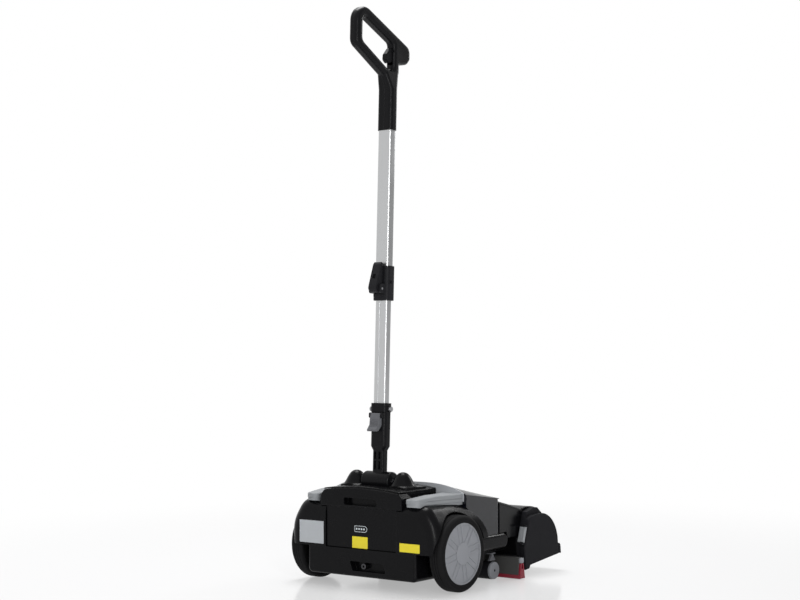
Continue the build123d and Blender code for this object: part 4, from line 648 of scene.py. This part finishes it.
class SCRUBBER_OT_bristles(Operator):
    """Models one splayed tuft and sets it in a helix round the brush, on a backing sleeve"""
    bl_idname = "scrubber.bristles"
    bl_label = "Bristles"

    def execute(self, context):
        sizes = context.scene.scrubber_sizes
        low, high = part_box("brush_bristles")
        centre = (low + high) / 2
        radius = (high.z - low.z) / 2
        tuft = self.tuft(sizes.strand, TUFT_ROOT, radius - 0.3 * MM)
        margin = 5 * MM
        pitch = (high.x - low.x - 2 * margin) / (sizes.tuft_columns - 1)
        step = 2 * pi / sizes.tuft_rows
        turns = (
            ("round", sizes.tuft_rows, (0.0, 0.0, 0.0), step),
            ("along", sizes.tuft_columns, (pitch, 0.0, 0.0), step * 0.5),
        )
        for name, count, place, turn in turns:
            nothing_selected()
            bpy.ops.object.empty_add(location=place, rotation=(turn, 0.0, 0.0))
            guide = context.object
            row = tuft.modifiers.new(name, "ARRAY")
            row.count = count
            row.use_relative_offset = False
            row.use_object_offset = True
            row.offset_object = guide
            context.view_layer.update()
            apply_all(tuft)
            bpy.data.objects.remove(guide)
        tuft.location = (low.x + margin, centre.y, centre.z)
        settle(tuft, "brush", "bristle", ("brush_bristles",), 60.0)

        nothing_selected()
        bpy.ops.mesh.primitive_cylinder_add(
            vertices=64, radius=BACKING_RADIUS, depth=high.x - low.x, location=centre, rotation=(0.0, pi / 2, 0.0)
        )
        sleeve = named("bristle_backing")
        bpy.ops.object.mode_set(mode="EDIT")
        pick(sleeve, "faces", lambda face: abs(face.normal.x) > 0.9)
        bpy.ops.mesh.inset(thickness=1.9 * MM, use_even_offset=False)
        bpy.ops.mesh.bridge_edge_loops()
        pick(
            sleeve, "edges",
            lambda line: abs(line.verts[0].co.x - line.verts[1].co.x) < 1e-6
            and all(
                Vector((v.co.y - centre.y, v.co.z - centre.z)).length > BACKING_RADIUS - 0.1 * MM
                for v in line.verts
            ),
        )
        bpy.ops.mesh.bevel(offset=0.8 * MM, segments=2)
        bpy.ops.mesh.select_all(action="SELECT")
        bpy.ops.mesh.normals_make_consistent(inside=False)
        bpy.ops.object.mode_set(mode="OBJECT")
        settle(sleeve, "brush", "hub_black")
        return {"FINISHED"}

    def tuft(self, strand, root, tip):
        """A tuft of seven strands that lean apart, standing up from the brush's axis."""
        reach = (tip - root) / 2
        leans = [(0.0, 0.0)] + [(cos(k * pi / 3), sin(k * pi / 3)) for k in range(6)]
        strands = []
        for across, along in leans:
            nothing_selected()
            spread = 1.25 * MM
            bpy.ops.mesh.primitive_cone_add(
                vertices=4, radius1=strand / 2, radius2=strand * 0.42, depth=reach,
                location=(across * spread, along * spread, root + reach / 2),
            )
            one = named("strand")
            top = root + reach - 1e-5
            bpy.ops.object.mode_set(mode="EDIT")
            pick(one, "faces", lambda face: face.calc_center_median().z > top and face.normal.z > 0.9)
            bpy.ops.mesh.extrude_region_move(
                TRANSFORM_OT_translate={"value": (across * 1.1 * MM, along * 1.1 * MM, reach * 0.985)}
            )
            bpy.ops.transform.resize(value=(0.6, 0.6, 1.0))
            bpy.ops.object.mode_set(mode="OBJECT")
            strands.append(one)
        tuft = joined(strands, "nylon_bristles")
        bpy.ops.object.transform_apply(location=True, rotation=True, scale=True)
        return tuft


class SCRUBBER_OT_edges(Operator):
    """Rounds the edges of the skirts and squeegee blades, which the frame carries square"""
    bl_idname = "scrubber.edges"
    bl_label = "Skirts and blades"

    def execute(self, context):
        edge = context.scene.scrubber_sizes.edge
        self.model("front_skirt", "bumper_skirt", "head", "cheek_black", "body_black", 2 * edge)
        self.model("rear_skirt", "splash_skirt", "head", "dark_rubber", "dark_rubber", edge)
        self.model("squeegee_blade_front", "front_blade", "squeegee", "red_rubber", "red_rubber", edge)
        self.model("squeegee_blade_rear", "rear_blade", "squeegee", "red_rubber", "red_rubber", edge)
        for side, out in SIDES:
            self.web(side, out, edge)
        return {"FINISHED"}

    def web(self, side, out, edge):
        """The red web that closes the squeegee's end between the two blades, low down."""
        low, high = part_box("squeegee_blade_front")
        back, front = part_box("squeegee_blade_rear")[0].y, high.y
        foot, top = low.z + 0.4 * MM, low.z + 22 * MM
        tip = high.x if out > 0 else low.x
        thick = 3.2 * MM
        nothing_selected()
        bpy.ops.mesh.primitive_cube_add(
            size=1.0, location=(tip - out * (thick / 2 + 0.3 * MM), (back + front) / 2, (foot + top) / 2)
        )
        bpy.context.object.scale = (thick, front - back - 3.2 * MM, top - foot)
        web = named("blade_web_" + side)
        bpy.ops.object.mode_set(mode="EDIT")
        pick(web, "faces", lambda face: face.normal.z > 0.9)
        bpy.ops.transform.resize(value=(1.0, 0.62, 1.0))
        bpy.ops.mesh.select_all(action="SELECT")
        bpy.ops.mesh.bevel(offset=edge, segments=3)
        bpy.ops.object.mode_set(mode="OBJECT")
        settle(web, "squeegee", "red_rubber")

    def model(self, node, name, body, finish, slot, edge):
        piece = copied(node, name)
        rounding = piece.modifiers.new("edge", "BEVEL")
        rounding.width = edge
        rounding.segments = 3
        rounding.limit_method = "ANGLE"
        rounding.angle_limit = radians(25)
        apply_all(piece)
        settle(piece, body, finish, (node,))


class SCRUBBER_OT_lips(Operator):
    """Models the lower lip of each side grip, set in a little from its upper part"""
    bl_idname = "scrubber.lips"
    bl_label = "Grip lips"

    def execute(self, context):
        for side in ("right", "left"):
            low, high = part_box("side_grip_" + side)
            lip = copied("side_grip_" + side, "grip_lip_" + side)
            bpy.ops.object.mode_set(mode="EDIT")
            bpy.ops.mesh.select_all(action="SELECT")
            middle = ((low.x + high.x) / 2, (low.y + high.y) / 2, low.z)
            bpy.ops.transform.resize(value=(0.97, 0.985, 0.8), center_override=middle)
            bpy.ops.transform.translate(value=(0.0, 0.0, -GRIP_LIP_DROP))
            bpy.ops.object.mode_set(mode="OBJECT")
            settle(lip, "tank_cover", "grip_grey")
        return {"FINISHED"}


class SCRUBBER_OT_films(Operator):
    """Sticks the blank silver plate and the two blank yellow patches on the rear faces"""
    bl_idname = "scrubber.films"
    bl_label = "Plate and patches"

    def execute(self, context):
        sizes = context.scene.scrubber_sizes
        self.model(sizes, "blank_plate", "main_housing", "chassis", "plate", (-174, -104), (90, 139.5))
        self.model(sizes, "blank_patch_right", "main_housing", "chassis", "patch", (108, 161.5), (88.4, 106.8))
        self.model(sizes, "blank_patch_middle", "battery_panel", "battery", "patch", (-24.5, 18.5), (87, 112.2))
        return {"FINISHED"}

    def model(self, sizes, name, node, body, finish, across, up):
        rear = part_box(node)[0].y - 6 * MM
        nothing_selected()
        bpy.ops.mesh.primitive_plane_add(
            size=1.0, location=(sum(across) / 2 * MM, rear, sum(up) / 2 * MM), rotation=(pi / 2, 0.0, 0.0)
        )
        bpy.context.object.scale = ((across[1] - across[0]) * MM, (up[1] - up[0]) * MM, 1.0)
        film = named(name)
        bpy.ops.object.mode_set(mode="EDIT")
        pick(film, "verts", lambda corner: True)
        bpy.ops.mesh.bevel(offset=sizes.film_corner, segments=4, affect="VERTICES")
        strips = 24
        for i in range(1, strips):
            x = (across[0] + (across[1] - across[0]) * i / strips) * MM
            bpy.ops.mesh.select_all(action="SELECT")
            bpy.ops.mesh.bisect(plane_co=(x, 0, 0), plane_no=(1, 0, 0))
        bpy.ops.object.mode_set(mode="OBJECT")
        laid = film.modifiers.new("laid", "SHRINKWRAP")
        laid.target = frame["nodes"][node]
        laid.wrap_method = "PROJECT"
        laid.use_project_x = False
        laid.use_project_y = True
        laid.use_project_z = False
        laid.use_positive_direction = True
        laid.use_negative_direction = False
        laid.offset = 0.02 * MM
        apply_all(film)
        bpy.ops.object.mode_set(mode="EDIT")
        bpy.ops.mesh.select_all(action="SELECT")
        bpy.ops.mesh.normals_make_consistent(inside=False)
        mesh = bmesh.from_edit_mesh(film.data)
        mesh.faces.ensure_lookup_table()
        if mesh.faces[0].normal.y > 0:
            bpy.ops.mesh.flip_normals()
        bpy.ops.object.mode_set(mode="OBJECT")
        sheet = film.modifiers.new("sheet", "SOLIDIFY")
        sheet.thickness = sizes.film
        sheet.offset = 1.0
        apply_all(film)
        settle(film, body, finish)


class SCRUBBER_OT_gauge(Operator):
    """Sets four lamp lenses and a printed outline on the charge gauge"""
    bl_idname = "scrubber.gauge"
    bl_label = "Charge gauge"

    def execute(self, context):
        low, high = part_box("charge_gauge")
        face = low.y
        middle = (low.z + high.z) / 2
        lenses = []
        for x in GAUGE_LENSES:
            nothing_selected()
            bpy.ops.mesh.primitive_cube_add(size=1.0, location=(x, face, middle))
            context.object.scale = (3.6 * MM, 0.6 * MM, 4.0 * MM)
            lens = named("lens")
            bpy.ops.object.mode_set(mode="EDIT")
            pick(lens, "edges", lambda line: abs(line.verts[0].co.y - line.verts[1].co.y) > 0.4 * MM)
            bpy.ops.mesh.bevel(offset=1.0 * MM, segments=4)
            pick(lens, "faces", lambda side: side.normal.y < -0.9)
            bpy.ops.mesh.inset(thickness=0.3 * MM)
            bpy.ops.transform.translate(value=(0.0, -0.25 * MM, 0.0))
            bpy.ops.object.mode_set(mode="OBJECT")
            lenses.append(lens)
        settle(joined(lenses, "gauge_lenses"), "battery", "lamp")

        nothing_selected()
        bpy.ops.mesh.primitive_plane_add(
            size=1.0, location=(-1.8 * MM, face - 0.05 * MM, middle), rotation=(pi / 2, 0.0, 0.0)
        )
        context.object.scale = (30.2 * MM, 13.6 * MM, 1.0)
        outline = named("gauge_outline")
        bpy.ops.object.mode_set(mode="EDIT")
        pick(outline, "edges", lambda line: all(v.co.x > 0 for v in line.verts))
        bpy.ops.mesh.extrude_region_move(TRANSFORM_OT_translate={"value": (4.6 * MM, 0.0, 0.0)})
        bpy.ops.transform.resize(value=(1.0, 1.0, 0.35))
        pick(outline, "verts", lambda corner: corner.co.x < 0)
        bpy.ops.mesh.bevel(offset=1.5 * MM, segments=3, affect="VERTICES")
        bpy.ops.mesh.select_mode(type="FACE")
        bpy.ops.mesh.select_all(action="SELECT")
        bpy.ops.mesh.inset(thickness=0.9 * MM)
        bpy.ops.mesh.delete(type="FACE")
        bpy.ops.mesh.select_all(action="SELECT")
        bpy.ops.mesh.normals_make_consistent(inside=False)
        bpy.ops.object.mode_set(mode="OBJECT")
        print_layer = outline.modifiers.new("print", "SOLIDIFY")
        print_layer.thickness = 0.15 * MM
        print_layer.offset = 0.0
        apply_all(outline)
        settle(outline, "battery", "lamp")
        return {"FINISHED"}


class SCRUBBER_OT_axle_ends(Operator):
    """Sets the dark axle end in the dimple of each roller cap"""
    bl_idname = "scrubber.axle_ends"
    bl_label = "Roller axle ends"

    def execute(self, context):
        for side, out in SIDES:
            low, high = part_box("roller_cap_" + side)
            middle = (low + high) / 2
            face = high.x if out > 0 else low.x
            nothing_selected()
            bpy.ops.mesh.primitive_cylinder_add(
                vertices=32, radius=2.7 * MM, depth=0.7 * MM,
                location=(face - out * 0.6 * MM, middle.y, middle.z), rotation=(0.0, pi / 2, 0.0),
            )
            end = named("roller_axle_end_" + side)
            bpy.ops.object.mode_set(mode="EDIT")
            pick(end, "faces", lambda facet: facet.normal.x * out > 0.9)
            bpy.ops.mesh.inset(thickness=0.5 * MM)
            bpy.ops.transform.translate(value=(out * 0.2 * MM, 0.0, 0.0))
            bpy.ops.mesh.inset(thickness=0.9 * MM)
            bpy.ops.transform.translate(value=(-out * 0.3 * MM, 0.0, 0.0))
            bpy.ops.mesh.select_all(action="SELECT")
            bpy.ops.mesh.normals_make_consistent(inside=False)
            bpy.ops.object.mode_set(mode="OBJECT")
            settle(end, "small_roller_" + side, "dark_steel")
        return {"FINISHED"}


class SCRUBBER_OT_ridges(Operator):
    """Models the thumb ridges across the release lever"""
    bl_idname = "scrubber.ridges"
    bl_label = "Lever ridges"

    def execute(self, context):
        height = context.scene.scrubber_sizes.ridge
        ridges = []
        for up in RIDGE_HEIGHTS:
            back = -23.0 - (140.0 - up) * 1.5 / 16.0
            if up < 124:
                back = -24.5 - (124.0 - up) * 0.75
            nothing_selected()
            bpy.ops.mesh.primitive_cube_add(size=1.0, location=on_handle(back * MM, up * MM))
            context.object.scale = (20 * MM, 2 * height, 1.4 * MM)
            ridge = named("ridge")
            bpy.ops.object.mode_set(mode="EDIT")
            bpy.ops.mesh.select_all(action="SELECT")
            bpy.ops.mesh.bevel(offset=0.55 * MM, segments=3)
            bpy.ops.object.mode_set(mode="OBJECT")
            ridges.append(ridge)
        settle(joined(ridges, "thumb_ridges"), "tilt_release", "lever_grey")
        return {"FINISHED"}


# Stage


class SCRUBBER_OT_stage(Operator):
    """Lays the pale floor, hangs the soft lamps and sets the camera at the photograph's angle"""
    bl_idname = "scrubber.stage"
    bl_label = "Stage"

    def execute(self, context):
        context.scene.view_settings.view_transform = "Standard"
        self.floor(context)
        self.world(context)
        self.lamp(context, "overhead_softbox", (-0.5, 0.3, 2.9), (0.0, 0.0, 0.2), 1.5, 58.0)
        self.lamp(context, "corner_strip", (1.75, -1.7, 0.9), (0.15, -0.2, 0.3), 0.26, 21.0, 1.7)
        self.lamp(context, "front_softbox", (0.6, 2.5, 1.7), (0.1, 0.1, 0.2), 0.8, 14.0)
        self.camera(context)
        return {"FINISHED"}

    def floor(self, context):
        nothing_selected()
        bpy.ops.mesh.primitive_circle_add(vertices=96, radius=7.0, fill_type="NGON", location=(0.0, 0.0, -0.0005))
        floor = named("pale_floor")
        floor_paint, tree, place = started("white_studio_floor_painted")
        out = add(tree, "ShaderNodeVectorMath", {0: (place, "Object")}, operation="LENGTH")
        # Camera and mirrored rays see the floor blend into white glow: fully towards the far backdrop, and by a 0.4
        # share even next to the machine, which is painted light that lifts the object's cast shadow.
        backdrop_fade_and_shadow_lift = add(
            tree, "ShaderNodeMapRange",
            {"Value": (out, "Value"), "From Min": 0.5, "From Max": 2.0, "To Min": 0.4},
            interpolation_type="SMOOTHERSTEP",
        )
        seen = seen_ray(tree)
        far = add(tree, "ShaderNodeMath", {0: (backdrop_fade_and_shadow_lift, "Result"), 1: (seen, "Value")}, operation="MULTIPLY")
        tone = context.scene.scrubber_colours.floor
        cloud = add(tree, "ShaderNodeTexNoise", {"Vector": (place, "Object"), "Scale": 2.0, "Detail": 2.0})
        paint = add(
            tree, "ShaderNodeMix", {0: (cloud, "Fac"), 6: shade(tone, 0.985), 7: shade(tone, 1.0)}, data_type="RGBA"
        )
        near = add(
            tree, "ShaderNodeBsdfPrincipled",
            {"Base Color": (paint, 2), "Roughness": 0.14, "Specular IOR Level": 0.5},
        )
        # White glow of the floor: the even backdrop far out, and painted light over the cast shadow near the
        # machine.
        white = add(tree, "ShaderNodeEmission", {"Color": (1.0, 1.0, 1.0, 1.0), "Strength": 1.0})
        finished(tree, add(tree, "ShaderNodeMixShader", {0: (far, "Value"), 1: (near, 0), 2: (white, 0)}))
        floor.data.materials.append(floor_paint)

    def world(self, context):
        world = bpy.data.worlds.new("white_studio")
        context.scene.world = world
        world.use_nodes = True
        tree = world.node_tree
        tree.nodes.clear()
        seen = seen_ray(tree)
        way = add(tree, "ShaderNodeTexCoord", {})
        side = add(
            tree, "ShaderNodeVectorMath", {0: (way, "Generated"), 1: (0.62, 0.78, 0.0)}, operation="DOT_PRODUCT"
        )
        dim = add(
            tree, "ShaderNodeMapRange",
            {"Value": (side, "Value"), "From Min": -0.2, "From Max": 0.9, "To Min": 1.0, "To Max": 0.45},
        )
        path = add(tree, "ShaderNodeLightPath", {})
        level = add(
            tree, "ShaderNodeMix", {0: (path, "Is Glossy Ray"), 2: 1.0, 3: (dim, "Result")}, data_type="FLOAT"
        )
        soft = add(tree, "ShaderNodeBackground", {"Color": (1.0, 1.0, 1.0, 1.0), "Strength": 0.42})
        white = add(tree, "ShaderNodeBackground", {"Color": (1.0, 1.0, 1.0, 1.0), "Strength": (level, 0)})
        sky = add(tree, "ShaderNodeMixShader", {0: (seen, "Value"), 1: (soft, 0), 2: (white, 0)})
        add(tree, "ShaderNodeOutputWorld", {"Surface": (sky, 0)})

    def lamp(self, context, name, place, aim, size, power, tall=0.0):
        nothing_selected()
        turn = (Vector(aim) - Vector(place)).to_track_quat("-Z", "Y").to_euler()
        bpy.ops.object.light_add(type="AREA", location=place, rotation=turn)
        context.object.name = name
        lamp = context.object.data
        lamp.shape = "RECTANGLE" if tall else "DISK"
        lamp.size = size
        lamp.size_y = tall or size
        lamp.energy = power

    def camera(self, context):
        azimuth, pitch, roll = radians(37.69297), radians(1.61522), radians(-0.264256)
        ahead = Vector((-sin(azimuth), cos(azimuth), 0.0))
        right = Vector((cos(azimuth), sin(azimuth), 0.0))
        place = right * CAMERA_ASIDE - ahead * CAMERA_DISTANCE + CAMERA_BASE
        look = (ahead * cos(pitch) + Vector((0.0, 0.0, sin(pitch)))).normalized()
        up = right.cross(look)
        right = right * cos(roll) + up * sin(roll)
        nothing_selected()
        bpy.ops.object.camera_add()
        camera = context.object
        camera.name = "photo_camera"
        axes = Matrix((right, right.cross(look), -look)).transposed().to_4x4()
        axes.translation = place
        camera.matrix_world = axes
        camera.data.sensor_width = 36.0
        camera.data.lens = CAMERA_FOCAL_SHARE * camera.data.sensor_width
        context.scene.camera = camera


def seen_ray(tree):
    """1 for rays that show the background: straight to the camera, mirrored in a surface or through one."""
    path = add(tree, "ShaderNodeLightPath", {})
    mirrored = add(
        tree, "ShaderNodeMath", {0: (path, "Is Camera Ray"), 1: (path, "Is Glossy Ray")}, operation="MAXIMUM"
    )
    return add(
        tree, "ShaderNodeMath", {0: (mirrored, "Value"), 1: (path, "Is Transmission Ray")}, operation="MAXIMUM"
    )


# Add-on


class SCRUBBER_PT_pieces(Panel):
    """Lists the steps and the sizes and colours they use"""
    bl_label = "Floor scrubber"
    bl_idname = "SCRUBBER_PT_pieces"
    bl_space_type = "VIEW_3D"
    bl_region_type = "UI"
    bl_category = "Scrubber"

    def draw(self, context):
        for step in STEPS:
            self.layout.operator(step.bl_idname)
        for group in (context.scene.scrubber_sizes, context.scene.scrubber_colours):
            box = self.layout.box()
            for name in group.__annotations__:
                box.prop(group, name)


STEPS = (
    SCRUBBER_OT_stage, SCRUBBER_OT_finishes, SCRUBBER_OT_tyres, SCRUBBER_OT_bristles, SCRUBBER_OT_edges,
    SCRUBBER_OT_lips, SCRUBBER_OT_films, SCRUBBER_OT_gauge, SCRUBBER_OT_axle_ends, SCRUBBER_OT_ridges,
)
CLASSES = (ScrubberColours, ScrubberSizes) + STEPS + (SCRUBBER_PT_pieces,)


def register():
    for kind in CLASSES:
        bpy.utils.register_class(kind)
    bpy.types.Scene.scrubber_sizes = PointerProperty(type=ScrubberSizes)
    bpy.types.Scene.scrubber_colours = PointerProperty(type=ScrubberColours)


def unregister():
    del bpy.types.Scene.scrubber_colours
    del bpy.types.Scene.scrubber_sizes
    for kind in reversed(CLASSES):
        bpy.utils.unregister_class(kind)


def main():
    register()
    for step in STEPS:
        getattr(bpy.ops.scrubber, step.bl_idname.split(".")[1])()
    nothing_selected()


if __name__ == "__main__":
    main()
